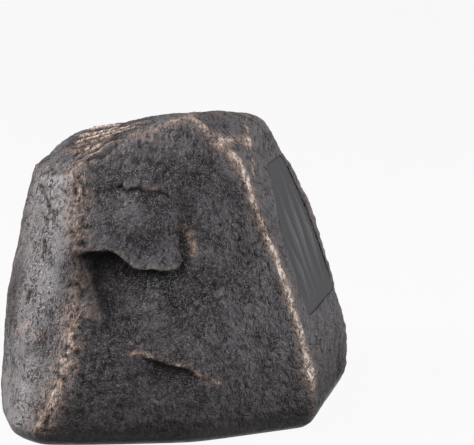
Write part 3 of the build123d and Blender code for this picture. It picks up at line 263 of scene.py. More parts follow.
# Welts and grooves: line and stray, height, which is below nothing for a groove, width, and the limits in
# shares of the line's length over which its two ends come in.
WELTS = (
    (VALLEY, WANDER, -8.0, 12.0, (0.0, 0.8), (-0.2, 0.1)),
    (SLAB_EDGE, WANDER, 2.8, 7.0, (0.0, 0.35), (0.0, 0.35)),
    (FOREHEAD_CRACK, GROOVE_STRAY, -2.25, 2.6, (0.0, 0.08), (0.0, 0.08)),
    (FOREHEAD_CRACK, GROOVE_STRAY, -2.75, 2.6, (0.2, 0.32), (0.4, 0.55)),
) + tuple((line, CRACK_STRAY, -4.2, 2.6, (0.0, 0.15), (0.0, 0.15)) for line in LEFT_CRACKS)

# Mounds and dents: place, height, which is below nothing for a dent, and radius.
MOUNDS = ((HOLLOW, -7.0, 22.0), (KNOB, 6.5, 13.0), (BROW, 6.5, 26.0))

# Lobe under its rim on the left: its height, and the limits of its rise, fall, reach and two ends.
LOBE_HEIGHT = 4.5
LOBE_RISE = (-6.0, 5.0)
LOBE_FALL = (16.0, 46.0)
LOBE_REACH = (30.0, 50.0)
LOBE_ENDS = ((0.05, 0.4), (-0.1, 0.2))

# Layers at the top left: height and groove, stray, ends, reach, and widths of their back, fall and edge.
LAYER_HEIGHT = 2.6
LAYER_GROOVE = 1.4
LAYER_GRAIN = 30.0
LAYER_STRAY = 1.4
LAYER_START = 0.9
LAYER_ENDS = (0.0, 0.12)
LAYER_REACH = (8.0, 13.0)
LAYER_BACK = 6.0
LAYER_FALL = 2.2
LAYER_EDGE = 1.8
GROOVE_AT = 3.6
GROOVE_WIDTH = 2.2

# Paint shares that the skin carries: bronze wear, painted shade, smoothness and painted light from a paler
# spray. Rounds of evening for what stands proud by a little, more and most.
PAINT_SHARES = ("worn", "painted_shade", "smooth", "proud_and_painted_light")
EVEN_ROUNDS = (4, 14, 160)
LOOK_ROUNDS = 30
FOOT_PAINT = (8.0, 30.0)
LOW_PAINT = (20.0, 105.0)

# Bronze dry brush: weight and limits in mm of what stands proud, loss and share on the left face, patches,
# and each line with its width and weight.
BRUSH_CRESTS = (0.2, 0.4, 1.8)
BRUSH_CRUMBS = (0.1, 0.1, 0.5)
BRUSH_NICKS = (0.5, 0.1, 0.6)
BRUSH_LEFT_LOSS = 0.7
BRUSH_LEFT = 0.06
BRUSH_PATCHES = (15.0, 21.0, -0.45, 0.25)
BRUSH_LEAST = 0.5
BRUSH_GAIN = 0.6
BRUSH_LINES = (
    (FRONT_RIDGE, 12.0, 0.55), (RIGHT_RIDGE, 6.4, 1.1), (CROWN_EDGE, 5.0, 0.4), (CORNER_FOOT, 6.0, 0.8),
    (CORNER_SIDE, 4.0, 0.6), (LOWER_RIDGE, 3.0, 0.7), (SLAB_EDGE, 5.0, 0.6), (LOBE_RIM, 5.0, 0.2),
    (LEFT_EDGE, 8.0, 0.3),
)
BRUSH_SPREAD = 0.15
BRUSH_START = (0.0, 0.05)
BRUSH_LAYERS = 0.85
BRUSH_EDGE_LOSS = 0.6
BRUSH_HOLLOW_LOSS = 0.75

# Painted shade: weight and limits in mm of what lies sunk, weights of places, and each line with its stray,
# weight, width and ends.
SHADE_IN_DIPS = (0.7, 0.5, 2.4)
SHADE_IN_NICKS = (0.4, 0.14, 0.5)
SHADE_IN_BASINS = (0.6, 0.8, 5.0)
SHADE_IN_GROOVES = 0.8
SHADE_AT_FOOT = 0.75
SHADE_LOW_DOWN = 0.6
SHADE_IN_HOLLOW = 0.7
HOLLOW_RADIUS = 28.0
SHADE_UNDER_FLAP = 0.6
FLAP_RADIUS = 24.0
SHADE_IN_VALLEY = 0.5
VALLEY_WIDTH = 9.0
VALLEY_ENDS = (0.0, 0.3)
SHADE_IN_CRACKS = tuple((line, CRACK_STRAY, 1.0, 2.6, (0.0, 0.15)) for line in LEFT_CRACKS) + (
    (FOREHEAD_CRACK, GROOVE_STRAY, 0.7, 2.6, (0.0, 0.1)),
)

# Painted shade along the outer edge of the left face, where it turns away: its width, and the height about
# which it spreads further in.
EDGE_WIDTH = 14.0
EDGE_REACH = (12.0, 50.0)
EDGE_Z = 135.0
EDGE_TALL = 60.0

# Paler spray that paints light: its level, and the weights of painted light on what stands most proud, of
# a painted highlight on the brow, and of painted light on the right and the left face.
PALE_LEVEL = 0.3
PAINTED_LIGHT_ON_BULGES = 0.16
PAINTED_BROW_HIGHLIGHT = 0.6
BROW_HIGHLIGHT_RADIUS = 17.0
PAINTED_RIGHT_LIGHT = 0.6
RIGHT_LIMITS = (0.3, 0.55)
PAINTED_LEFT_LIGHT = 0.15

# Grains in mm of the rock's paint and relief, and the turn and stretch of its crust.
CLOUD_GRAIN = 46.0
LUMP_GRAIN = 24.0
FOLD_GRAIN = 11.0
PIT_SPACING = 8.0
CRUST_GRAIN = 3.6
GRIT_GRAIN = 1.5
CRUST_TURN = (0.2, -0.25, 0.0)
CRUST_STRETCH = (1.0, 1.0, 0.75)
ROCK_RELIEF = 1.9

# Pitch in mm of the grille's holes, and grains and relief of its coat.
HOLE_PITCH = 2.6
COAT_GRAIN = 1.4
SHADE_GRAIN = 40.0
COAT_RELIEF = 0.4

# Soft boxes: place, width and height in mm, and power in watts. All of them are turned to one place.
SOFT_BOXES = {
    "rim_box": ((-1800, -730, 957), 1000, 1000, 150.0),
    "right_box": ((1780, -250, 1050), 900, 1000, 71.0),
    "front_box": ((-150, -1200, 1850), 1000, 900, 6.0),
}
LAMP_AIM = (0, 0, 170)
FLOOR_REACH = 9000.0
PAPER_WHITE = 0.93
SKY_LIGHT = 0.1

# Lattice noise: its seeded turns and slopes, the shift from layer to layer and from axis to axis, and what
# brings it to about -1 to 1.
LATTICE_SIZE = 256
rng = np.random.default_rng(41)
LATTICE = rng.permutation(LATTICE_SIZE)
SLOPES = rng.normal(size=(LATTICE_SIZE, 3))
SLOPES /= np.linalg.norm(SLOPES, axis=1, keepdims=True)
LAYER_SHIFT = 7.3
AXIS_SHIFT = 3.1
NOISE_GAIN = 1.6
SMALLEST = 1e-9


def looking(bearing, rise):
    """The unit vector of a bearing from +X towards +Y and a rise above the horizon, in degrees."""
    b, r = math.radians(bearing), math.radians(rise)
    return np.array((math.cos(r) * math.cos(b), math.cos(r) * math.sin(b), math.sin(r)))


PANEL_OUT = looking(0.0, PANEL_LEAN)
PANEL_ACROSS = np.array((0.0, 1.0, 0.0))
PANEL_UPWARD = np.cross(PANEL_OUT, PANEL_ACROSS)
PANEL_AT = np.array(((PANEL_REACH - PANEL_Z * PANEL_OUT[2]) / PANEL_OUT[0], PANEL_Y, PANEL_Z))


def eased(value, low, high):
    """A smooth step from 0 at low to 1 at high: three squares less two cubes of the share of the way."""
    share = np.clip((value - low) / (high - low), 0.0, 1.0)
    return share * share * (3.0 - 2.0 * share)


def soft_max(parts, softness):
    """The largest of several distances, rounded where two are close: softness times the log of the sum of
    their exponentials."""
    top = parts.max(0)
    return top + softness * np.log(np.exp((parts - top) / softness).sum(0))


def grain(place, size, shift=0.0):
    """Smooth lattice noise with grains of that size in mm, about -1 to 1: a random slope at each lattice
    point, blended over the cell by a quintic step."""
    at = place / size + shift
    cell = np.floor(at).astype(int)
    inside = at - cell
    fade = inside ** 3 * (inside * (inside * 6.0 - 15.0) + 10.0)
    total = np.zeros(place.shape[:-1])
    for corner in np.ndindex(2, 2, 2):
        step = np.array(corner)
        index = (cell + step) % LATTICE_SIZE
        pick = LATTICE[index[..., 0]]
        for axis in (1, 2):
            pick = LATTICE[(pick + index[..., axis]) % LATTICE_SIZE]
        share = np.prod(np.where(step, fade, 1.0 - fade), axis=-1)
        total += share * (SLOPES[pick] * (inside - step)).sum(-1)
    return total * NOISE_GAIN


def rough(place, size, layers, shift=0.0):
    """Layers of lattice noise, each half as large and half as high as the one before."""
    return sum(grain(place, size / 2 ** i, shift + LAYER_SHIFT * i) / 2 ** i for i in range(layers))


def stray(place, size, reach, shift):
    """Places moved about by lattice noise in each axis, so that a drawn line wanders."""
    moves = [grain(place, size, shift + AXIS_SHIFT * axis) for axis in range(3)]
    return place + reach * np.stack(moves, -1)


def lumps(place, height, size, layers, start):
    """Layered noise of that height and grain in mm, from a start on the lattice."""
    return height * rough(place, size, layers, start)


def patches(place, size, start, low, high):
    """Soft-edged patches: lattice noise as a smooth step from its low to its high limit."""
    return eased(grain(place, size, start), low, high)


def weighed(value, weight, low, high):
    """A weight that comes in by a smooth step between two limits."""
    return weight * eased(value, low, high)


def bell(gap, width):
    """One at no distance, falling off as the exponential of minus the square of distance by width."""
    return np.exp(-(gap / width) ** 2)


def mound(place, middle, radius):
    """A bell of that radius about a place."""
    return bell(np.linalg.norm(place - np.array(middle), axis=-1), radius)


def outline_parts(x, y, corners):
    """How far points lie outside each side of a polygon whose corners run anticlockwise."""
    run = np.roll(corners, -1, axis=0) - corners
    across = (x - corners[..., 0]) * run[..., 1] - (y - corners[..., 1]) * run[..., 0]
    return across / np.linalg.norm(run, axis=-1)


def ridge_corners(z):
    """The rock's outline at each height: every ridge on the cubic through its four level points."""
    shares = []
    for i, level in enumerate(LEVELS):
        others = np.delete(LEVELS, i)
        shares.append(np.prod((z[..., None] - others) / (level - others), axis=-1))
    return np.einsum("...l,rlc->r...c", np.stack(shares, -1), RIDGES)


def rock_height(place, inset, softness):
    """How far places lie outside the plain rock moved in by inset: the soft maximum of the distances from
    its sides, with the roll of its foot, and from its facets."""
    x, y, z = np.moveaxis(place, -1, 0)
    sides = outline_parts(x, y, ridge_corners(np.maximum(z, LEVELS[0]))) * SIDE_LEAN
    sides = sides + np.interp(z, *FOOT_ROLL)
    facets = np.stack([place @ looking(bearing, rise) - reach for bearing, rise, reach in FACETS])
    return soft_max(np.concatenate((sides, facets)), softness) + inset


def rock_rays(columns, low_rows, high_rows, foot_z):
    """Starts and directions of the rays that find the skin: level rays out from an upright axis, from the
    foot to the spring height, and above it a fan from one point up to the crown. The columns are evenly
    spaced turns plus a share of their sine, so that they crowd on the broad face."""
    even = 2.0 * math.pi * np.arange(columns) / columns
    turn = even + CROWDING * np.sin(even - BACK_BEARING)
    rise = np.concatenate((np.zeros(low_rows), np.linspace(0.0, 0.5 * math.pi, high_rows + 1)[:-1]))
    low_z = np.linspace(foot_z, SPRING_Z, low_rows, endpoint=False)
    start_z = np.concatenate((low_z, np.full(high_rows, SPRING_Z)))
    flat = np.cos(rise)[:, None]
    ways = np.stack((flat * np.cos(turn), flat * np.sin(turn), np.sin(rise)[:, None] + 0.0 * turn), -1)
    starts = np.zeros_like(ways)
    starts[..., 2] = start_z[:, None]
    return starts, ways


def reach_within(height, shape, reach, rounds):
    """How far each ray runs before a height along it rises through zero, found by halving the reach."""
    near, far = np.zeros(shape), np.full(shape, reach)
    for _ in range(rounds):
        middle = 0.5 * (near + far)
        within = height(middle) < 0.0
        near, far = np.where(within, middle, near), np.where(within, far, middle)
    return near


def rock_skin(columns, low_rows, high_rows, foot_z, inset, softness):
    """The plain rock as a grid of points: along each ray, the place where its height is zero."""
    starts, ways = rock_rays(columns, low_rows, high_rows, foot_z)

    def height(run):
        return rock_height(starts + run[..., None] * ways, inset, softness)

    return starts + reach_within(height, ways.shape[:2], RAY_REACH, RAY_HALVINGS)[..., None] * ways


def grid_normals(grid):
    """Outward unit normals of a grid that is closed along its columns: the way along a row crossed with the
    way up a column."""
    along = np.roll(grid, -1, axis=1) - np.roll(grid, 1, axis=1)
    upward = np.gradient(grid, axis=0)
    normal = np.cross(along, upward)
    return normal / np.maximum(np.linalg.norm(normal, axis=-1, keepdims=True), SMALLEST)


def evened(values, rounds):
    """Grid values averaged with their four neighbours, over and over."""
    for _ in range(rounds):
        above = np.concatenate((values[1:], values[-1:]))
        below = np.concatenate((values[:1], values[:-1]))
        values = 0.25 * (np.roll(values, 1, axis=1) + np.roll(values, -1, axis=1) + above + below)
    return values


def to_line(place, line):
    """For each place the distance to a bent line, the share of the line's length at the nearest point, and
    that point."""
    line = np.asarray(line, float)
    lengths = np.linalg.norm(np.diff(line, axis=0), axis=1)
    passed = np.concatenate(((0.0,), np.cumsum(lengths)))
    distance = np.full(place.shape[:-1], np.inf)
    share = np.zeros(place.shape[:-1])
    nearest = np.zeros_like(place)
    for i, start in enumerate(line[:-1]):
        run = line[i + 1] - start
        along = np.clip(((place - start) @ run) / (run @ run), 0.0, 1.0)
        point = start + along[..., None] * run
        gap = np.linalg.norm(place - point, axis=-1)
        closer = gap < distance
        distance = np.where(closer, gap, distance)
        share = np.where(closer, (passed[i] + along * lengths[i]) / passed[-1], share)
        nearest = np.where(closer[..., None], point, nearest)
    return distance, share, nearest


def run_out(share, first, last):
    """One along a line, and a smooth step at each end between those limits in shares of its length."""
    return eased(share, *first) * eased(1.0 - share, *last)


def welt(place, line, width, first, last):
    """A soft line: a bell of that width across it, run out at its two ends."""
    gap, share, _ = to_line(place, line)
    return bell(gap, width) * run_out(share, first, last)


def break_under(place, line, run, ends):
    """The share of the cut below an overhanging line: full just below it, easing out by the run and over
    those parts of its length at its two ends. Also the share by which the lip above it leans out and
    down."""
    gap, share, nearest = to_line(place, line)
    below = (nearest - place)[..., 2]
    held = run_out(share, (0.0, ends[0]), (0.0, ends[1]))
    cut = eased(below, *BREAK_START) * (1.0 - eased(below, BREAK_FULL * run, run))
    cut *= 1.0 - eased(gap, run, BREAK_REACH * run)
    lip = eased(below, *LIP_RISE) * (1.0 - eased(below, *LIP_FALL)) * (1.0 - eased(gap, *LIP_REACH))
    return cut * held, lip * held


def strata(place):
    """Thin layers folded over each other on the top facet. For each place the height of the layers' edges,
    a slow rise from behind each line and a sharp fall in front of it, and the shares of a bright edge and
    of the groove in front of it, which the paint darkens as shade."""
    height, edge, groove = np.zeros((3,) + place.shape[:-1])
    for i, line in enumerate(STRATA):
        gap, share, nearest = to_line(stray(place, LAYER_GRAIN, LAYER_STRAY, LAYER_START + i), line)
        side = (place - nearest) @ STRATA_FRONT
        held = run_out(share, LAYER_ENDS, LAYER_ENDS) * (1.0 - eased(gap, *LAYER_REACH))
        rise = np.where(side < 0.0, bell(side, LAYER_BACK), 1.0 - eased(side, 0.0, LAYER_FALL))
        height = np.maximum(height, rise * held)
        edge = np.maximum(edge, bell(gap, LAYER_EDGE) * held)
        groove = np.maximum(groove, bell(side - GROOVE_AT, GROOVE_WIDTH) * held)
    return height, edge, groove


def lobe(place):
    """A flat swelling below a rim: a quick rise under the line and a slow fall, run out at its ends."""
    gap, share, nearest = to_line(place, LOBE_RIM)
    under = (nearest - place)[..., 2]
    swelling = eased(under, *LOBE_RISE) * (1.0 - eased(under, *LOBE_FALL))
    return swelling * (1.0 - eased(gap, *LOBE_REACH)) * run_out(share, *LOBE_ENDS)


def faces_of(normal):
    """How far places belong to the smooth left face and to the top, from the way that they look."""
    left = eased(-normal[..., 0], *LEFT_X) * eased(-normal[..., 1], *LEFT_Y)
    return left * (1.0 - eased(normal[..., 2], *LEFT_Z)), eased(normal[..., 2], *TOP_Z)


def panel_height(place):
    """How far places lie outside the grille panel's outline, measured in the plane of the grille."""
    reach = place - PANEL_AT
    corners = PANEL_CORNERS.reshape((len(PANEL_CORNERS),) + (1,) * (place.ndim - 1) + (2,))
    return soft_max(outline_parts(reach @ PANEL_ACROSS, reach @ PANEL_UPWARD, corners), PANEL_SOFTNESS)


def weathered(grid):
    """The rock's surface: the plain rock moved along its normals by noise in several sizes, and by its
    seams, pocks, breaks, welts, mounds, lobe and layers, with the lips also drawn down."""
    normal = evened(grid_normals(grid), NORMAL_ROUNDS)
    normal /= np.linalg.norm(normal, axis=-1, keepdims=True)
    wander, fine = stray(grid, *WANDER), stray(grid, *FINE)
    left, top = faces_of(normal)
    ridge = bell(to_line(grid, RIGHT_RIDGE)[0], RIDGE_WIDTH)
    coarse = (1.0 - LEFT_LOSS * left) * (1.0 - TOP_LOSS * top) * (1.0 - RIDGE_LOSS * ridge)
    clear = eased(panel_height(grid), *RIM_LIMITS) + eased(-(grid @ PANEL_OUT), *BEHIND_LIMITS)
    calm = np.clip(RIM_SHARE + (1.0 - RIM_SHARE) * clear, 0.0, 1.0) * eased(grid[..., 2], *FOOT_LIMITS)

    move = lumps(grid, *SWELL)
    for row in LUMPS:
        move += lumps(grid, *row) * coarse
    crests = CREST_LEVEL - CREST_GAIN * np.abs(rough(fine, *CREST_NOISE))
    move += CREST_HEIGHT * crests * coarse + lumps(fine, *CRUMBS) * coarse
    seams = bell(rough(stray(grid, *SEAM_STRAY), *SEAM_NOISE), SEAM_WIDTH) * patches(grid, *SEAM_PATCHES)
    move -= SEAM_DEPTH * seams * coarse * (1.0 - left)
    move -= POCK_DEPTH * patches(fine * np.array(POCK_STRETCH), *POCKS) * left
    bevel = bell(to_line(fine, FRONT_RIDGE)[0], BEVEL_WIDTH)
    move += (lumps(fine, *BEVEL_LUMPS) - CHIP_DEPTH * patches(fine, *CHIPS)) * bevel

    lean, hang = np.zeros((2,) + grid.shape[:2])
    for line, wave, depth, run, ends, outward, down in BREAKS:
        cut, lip = break_under(stray(grid, *wave), line, run, ends)
        move -= depth * cut
        lean += outward * lip
        hang += down * lip
    for line, wave, height, width, first, last in WELTS:
        move += height * welt(stray(grid, *wave), line, width, first, last)
    for middle, height, radius in MOUNDS:
        move += height * mound(wander, middle, radius)
    layer, _, groove = strata(grid)
    move += LOBE_HEIGHT * lobe(wander) + LAYER_HEIGHT * layer - LAYER_GROOVE * groove

    moved = grid + normal * (move * calm + lean)[..., None]
    moved[..., 2] = np.maximum(moved[..., 2] - hang, 0.0)
    return moved


def worn_edges_and_painted_light(grid):
    """Four shares for the paint. Worn, where the bronze dry brush catches: how far a point stands above
    the surface evened over about a centimetre, and how near it lies to the drawn ridges and layers. Painted
    shade: how far it lies below, the cracks, the hollows, the foot and the outer edge of the left face.
    Smooth: the left face and the foot. Painted light, where the spray is paler: how far it stands above the
    surface evened over a few centimetres, a painted highlight on the brow, and the right and the left face."""
    normal = grid_normals(grid)
    broad = evened(normal, LOOK_ROUNDS)
    left, _ = faces_of(broad / np.linalg.norm(broad, axis=-1, keepdims=True))
    near, proud_and_painted_light, wide = [((grid - evened(grid, rounds)) * normal).sum(-1) for rounds in EVEN_ROUNDS]
    # The foot that rolls under, and the lower part of the rock, are painted darker as shade.
    foot = 1.0 - eased(grid[..., 2], *FOOT_PAINT)
    low = 1.0 - eased(grid[..., 2], *LOW_PAINT)
    # The hollow below the cheek and the place under the flap are painted dark as shade.
    hollow_shade, flap_shade = mound(grid, HOLLOW, HOLLOW_RADIUS), mound(grid, FLAP, FLAP_RADIUS)
    _, edge, groove = strata(grid)
    # The outer edge of the left face, where it turns away, is painted as shade.
    gap, _, _ = to_line(stray(grid, *EDGE_STRAY), LEFT_EDGE)
    inward = (1.0 - eased(gap, *EDGE_REACH)) * bell(grid[..., 2] - EDGE_Z, EDGE_TALL)
    edge_shade = np.maximum(bell(gap, EDGE_WIDTH), inward)

    worn = weighed(proud_and_painted_light, *BRUSH_CRESTS) + weighed(near, *BRUSH_CRUMBS)
    worn = worn * (1.0 - BRUSH_LEFT_LOSS * left) + BRUSH_LEFT * left
    wander = stray(grid, *BRUSH_STRAY)
    patchy = BRUSH_LEAST + BRUSH_GAIN * patches(grid, *BRUSH_PATCHES)
    for line, width, weight in BRUSH_LINES:
        gap, share, _ = to_line(wander, line)
        stroke = bell(gap, width * (1.0 + BRUSH_SPREAD * share ** 3)) * eased(share, *BRUSH_START)
        worn = worn + weight * stroke * patchy
    # Less bronze where shade is painted: on the outer left edge and in the hollow.
    worn = (worn + BRUSH_LAYERS * edge) * (1.0 - BRUSH_EDGE_LOSS * edge_shade)
    worn = worn * (1.0 - BRUSH_HOLLOW_LOSS * np.maximum(hollow_shade ** 0.5, flap_shade))
    worn = np.clip(worn - weighed(-near, *BRUSH_NICKS), 0.0, 1.0) * (1.0 - foot)

    # Painted shade: darker in dips, nicks, basins, layer grooves, cracks, the valley, the hollow, under the
    # flap, at the foot, low down and along the outer left edge.
    painted_shade = weighed(-proud_and_painted_light, *SHADE_IN_DIPS) + weighed(-near, *SHADE_IN_NICKS) + weighed(-wide, *SHADE_IN_BASINS)
    painted_shade = painted_shade + SHADE_IN_GROOVES * groove + SHADE_AT_FOOT * foot + SHADE_LOW_DOWN * low * (1.0 - left) + edge_shade
    for line, wave, weight, width, ends in SHADE_IN_CRACKS:
        painted_shade = painted_shade + weight * welt(stray(grid, *wave), line, width, ends, ends)
    # Painted shade down the valley.
    painted_shade = painted_shade + SHADE_IN_VALLEY * welt(grid, VALLEY, VALLEY_WIDTH, VALLEY_ENDS, VALLEY_ENDS)
    painted_shade = np.clip(painted_shade + SHADE_IN_HOLLOW * hollow_shade + SHADE_UNDER_FLAP * flap_shade, 0.0, 1.0)

    left = left * (1.0 - edge_shade)
    # Painted light: a painted highlight on the brow, lighter on large bulges, on faces turned to the right
    # and on the left face.
    brow_highlight = mound(stray(grid, *BROW_HIGHLIGHT_STRAY), BROW, BROW_HIGHLIGHT_RADIUS)
    pale = PALE_LEVEL + PAINTED_LIGHT_ON_BULGES * wide + PAINTED_BROW_HIGHLIGHT * brow_highlight + PAINTED_LEFT_LIGHT * left
    pale = np.clip(pale + weighed(broad[..., 0], PAINTED_RIGHT_LIGHT, *RIGHT_LIMITS), 0.0, 1.0)
    return worn, painted_shade, np.maximum(left, foot), pale


def closed_grid(grid, bottom, top):
    """Points and faces of a grid closed along its columns, with a fan of triangles to a point at each
    end."""
    rows, columns = grid.shape[:2]
    points = np.concatenate((grid.reshape(-1, 3), [bottom], [top]))
    here = np.arange(rows * columns).reshape(rows, columns)
    beside = np.roll(here, -1, axis=1)
    quads = np.stack((here[:-1], beside[:-1], beside[1:], here[1:]), -1).reshape(-1, 4)
    low = np.stack((beside[0], here[0], np.full(columns, rows * columns)), -1)
    high = np.stack((here[-1], beside[-1], np.full(columns, rows * columns + 1)), -1)
    return points, [quads, low, high]


def prism(outline, low, high, place):
    """A closed prism: an outline at two heights, with a flat face at each end, put in place by a
    function."""
    count = len(outline)
    rings = [place(np.column_stack((outline, np.full(count, height)))) for height in (low, high)]
    here = np.arange(count)
    sides = np.stack((here, np.roll(here, -1), np.roll(here, -1) + count, here + count), -1)
    return np.concatenate(rings), [sides, here[None, ::-1], here[None] + count]


def new_piece(name, points, faces):
    """A mesh object at the origin from points in mm and arrays of faces of equal length."""
    mesh = bpy.data.meshes.new(name)
    mesh.vertices.add(len(points))
    mesh.vertices.foreach_set("co", (np.asarray(points) * MM).astype(np.float32).ravel())
    corners = np.concatenate([part.ravel() for part in faces])
    sizes = np.concatenate([np.full(len(part), part.shape[1]) for part in faces])
    mesh.loops.add(len(corners))
    mesh.loops.foreach_set("vertex_index", corners.astype(np.int32))
    mesh.polygons.add(len(sizes))
    mesh.polygons.foreach_set("loop_start", (np.cumsum(sizes) - sizes).astype(np.int32))
    mesh.update(calc_edges=True)
    mesh.validate()
    piece = bpy.data.objects.new(name, mesh)
    bpy.context.scene.collection.objects.link(piece)
    return piece


def add_values(piece, name, values):
    """A number for each point of a piece, for its material to read."""
    data = piece.data.attributes.new(name, "FLOAT", "POINT")
    data.data.foreach_set("value", np.asarray(values, np.float32))


def cut_away(piece, cutters):
    """The piece with each cutter taken out of it, as a plain mesh."""
    for cutter in cutters:
        step = piece.modifiers.new(cutter.name, "BOOLEAN")
        step.operation = "DIFFERENCE"
        step.solver = "EXACT"
        step.object = cutter
    bpy.context.view_layer.update()
    cut = piece.evaluated_get(bpy.context.evaluated_depsgraph_get())
    mesh = bpy.data.meshes.new_from_object(cut)
    piece.modifiers.clear()
    old = piece.data
    piece.data = mesh
    mesh.name = piece.name
    bpy.data.meshes.remove(old)
    for cutter in cutters:
        bpy.data.meshes.remove(cutter.data)


def inset_outline(corners, inset):
    """A polygon moved in by inset: each corner to where its two sides meet after the move."""
    run = np.roll(corners, -1, axis=0) - corners
    run /= np.linalg.norm(run, axis=1, keepdims=True)
    out = np.stack((run[:, 1], -run[:, 0]), -1)
    before = np.roll(out, 1, axis=0)
    shift = (out + before) / (1.0 + (out * before).sum(1, keepdims=True))
    return corners - inset * shift


def panel_rim(inset, count):
    """The grille panel's outline with soft corners, as points round its middle: along each ray from the
    middle, the place where the soft outline moved in by inset is met."""
    turn = 2.0 * math.pi * np.arange(count) / count
    ways = np.stack((np.cos(turn), np.sin(turn)), -1)

    def height(run):
        spot = run[:, None] * ways
        sides = outline_parts(spot[:, 0], spot[:, 1], PANEL_CORNERS[:, None, :])
        return soft_max(sides, PANEL_SOFTNESS) + inset

    return reach_within(height, count, PANEL_SEARCH, PANEL_HALVINGS)[:, None] * ways


def on_panel(points):
    """Places in the part's frame of points given across, up and out of the grille face."""
    return PANEL_AT + points @ np.stack((PANEL_ACROSS, PANEL_UPWARD, PANEL_OUT))


def upright(points):
    """Places of points that are already in the part's frame."""
    return points


def fold_height(across, up):
    """Soft upright folds: at each place a round crest that tapers out to nothing at its top and its foot,
    and leans from side to side on the way."""
    height = np.zeros_like(across)
    for i, (place, top) in enumerate(zip(FOLD_PLACES, FOLD_TOPS)):
        share = (up - FOLD_FOOT) / (top - FOLD_FOOT)
        lens = np.clip(1.0 - np.abs(2.0 * share - 1.0), 0.0, 1.0)
        sway = FOLD_SWAY * np.sin(math.pi * share * SWAY_TURN + SWAY_STEP * i)
        half = FOLD_HALF * (FOLD_THIN + (1.0 - FOLD_THIN) * lens)
        crest = 1.0 - eased(np.abs(across - place - sway) / half, 0.0, 1.0)
        height += FOLD_RISE * lens ** FOLD_TAPER * crest
    return height


def grille_sheet():
    """The sheet as rings from its middle to its rim, and a last few rings that turn back into the pocket:
    the panel's outline scaled by each ring's share, raised by the folds."""
    rim = panel_rim(GRILLE_GAP, GRILLE_TURNS)
    share = np.concatenate((np.linspace(GRILLE_MIDDLE, GRILLE_FLAT, GRILLE_RINGS), RETURN_SHARES))
    drop = np.concatenate((np.zeros(GRILLE_RINGS), RETURN_DROPS))
    flat = share[:, None, None] * rim[None]
    fade = 1.0 - eased(share, GRILLE_FADE, GRILLE_FLAT)[:, None]
    out = GRILLE_FRONT + fold_height(flat[..., 0], flat[..., 1]) * fade - drop[:, None]
    return np.concatenate((flat, out[..., None]), -1)


# Moulded rock
skin = weathered(rock_skin(SKIN_COLUMNS, SKIN_LOW_ROWS, SKIN_HIGH_ROWS, 0.0, 0.0, EDGE_SOFTNESS))
crown = skin[-1].mean(0) + np.array((0.0, 0.0, CROWN_LIFT))
rock = new_piece("moulded_rock", *closed_grid(skin, (0.0, 0.0, 0.0), crown))
# Paint shares for the rock: bronze wear, painted shade, smoothness and painted light.
for name, values in zip(PAINT_SHARES, worn_edges_and_painted_light(skin)):
    add_values(rock, name, np.concatenate((values.ravel(), (0.0, values[-1].mean()))))
hollow_grid = rock_skin(*CAVITY_GRID, CAVITY_Z, WALL, CAVITY_SOFTNESS)
hollow = new_piece("hollow", *closed_grid(hollow_grid, (0.0, 0.0, CAVITY_Z), hollow_grid[-1].mean(0)))
foot_outline = RIDGES[:, 0]
base_outline = inset_outline(foot_outline, BASE_RIM)
flange_outline = inset_outline(foot_outline, FLANGE_RIM)
base_hole = new_piece("base_hole", *prism(base_outline, BASE_LOW, FLANGE_Z, upright))
flange = prism(flange_outline, FLANGE_Z - OVERLAP, CAVITY_Z + CAVITY_OVERLAP, upright)
flange_hole = new_piece("flange_hole", *flange)
notch_outline = np.array([(NOTCH_X[i], NOTCH_Y[j]) for i, j in ((0, 0), (1, 0), (1, 1), (0, 1))])
cable_notch = new_piece("cable_notch", *prism(notch_outline, *NOTCH_Z, upright))
mouth = panel_rim(0.0, POCKET_TURNS)
pocket = new_piece("pocket", *prism(mouth, -LEDGE_DEPTH, POCKET_MOUTH, on_panel))
ledge = panel_rim(LEDGE_WIDTH, LEDGE_TURNS)
driver_hole = new_piece("driver_hole", *prism(ledge, -POCKET_DEPTH, OVERLAP - LEDGE_DEPTH, on_panel))
cut_away(rock, (hollow, base_hole, flange_hole, cable_notch, pocket, driver_hole))
rock.data.shade_smooth()
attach(rock, "cabinet")
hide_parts("rock_shell")

# Folded grille sheet
sheet_grid = grille_sheet()
# Crest share: the grille's coat is painted lighter on the fold crests and darker between them, as painted
# light and shade.
crest = np.clip(fold_height(sheet_grid[..., 0], sheet_grid[..., 1]) / FOLD_RISE, 0.0, 1.0)
rings, turns = sheet_grid.shape[:2]
here = np.arange(rings * turns).reshape(rings, turns)
beside = np.roll(here, -1, axis=1)
sheet_faces = [np.stack((here[:-1], here[1:], beside[1:], beside[:-1]), -1).reshape(-1, 4),
               np.stack((np.full(turns, rings * turns), here[0], beside[0]), -1)]
sheet_points = np.concatenate((sheet_grid.reshape(-1, 3), [(0.0, 0.0, sheet_grid[0, :, 2].mean())]))
grille = new_piece("folded_grille", on_panel(sheet_points), sheet_faces)
add_values(grille, "crest", np.append(crest.ravel(), crest[0].mean()))
pattern = grille.data.uv_layers.new(name="sheet")
corner_points = np.zeros(len(grille.data.loops), np.int32)
grille.data.loops.foreach_get("vertex_index", corner_points)
pattern.data.foreach_set("uv", (sheet_points[corner_points, :2] * MM).astype(np.float32).ravel())
thick = grille.modifiers.new("sheet", "SOLIDIFY")
thick.thickness = SHEET * MM
thick.offset = -1.0
grille.data.shade_smooth()
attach(grille, "cabinet")
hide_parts("front_grille")


def linear(code):
    """An sRGB hex colour as the linear values that Blender takes."""
    parts = [int(code[i:i + 2], 16) / 255.0 for i in (1, 3, 5)]
    return [p / 12.92 if p <= 0.04045 else ((p + 0.055) / 1.055) ** 2.4 for p in parts] + [1.0]


def new_material(name):
    """A material with nothing but its shader, and that shader."""
    material = bpy.data.materials.new(name)
    material.use_nodes = True
    return material, material.node_tree, material.node_tree.nodes["Principled BSDF"]


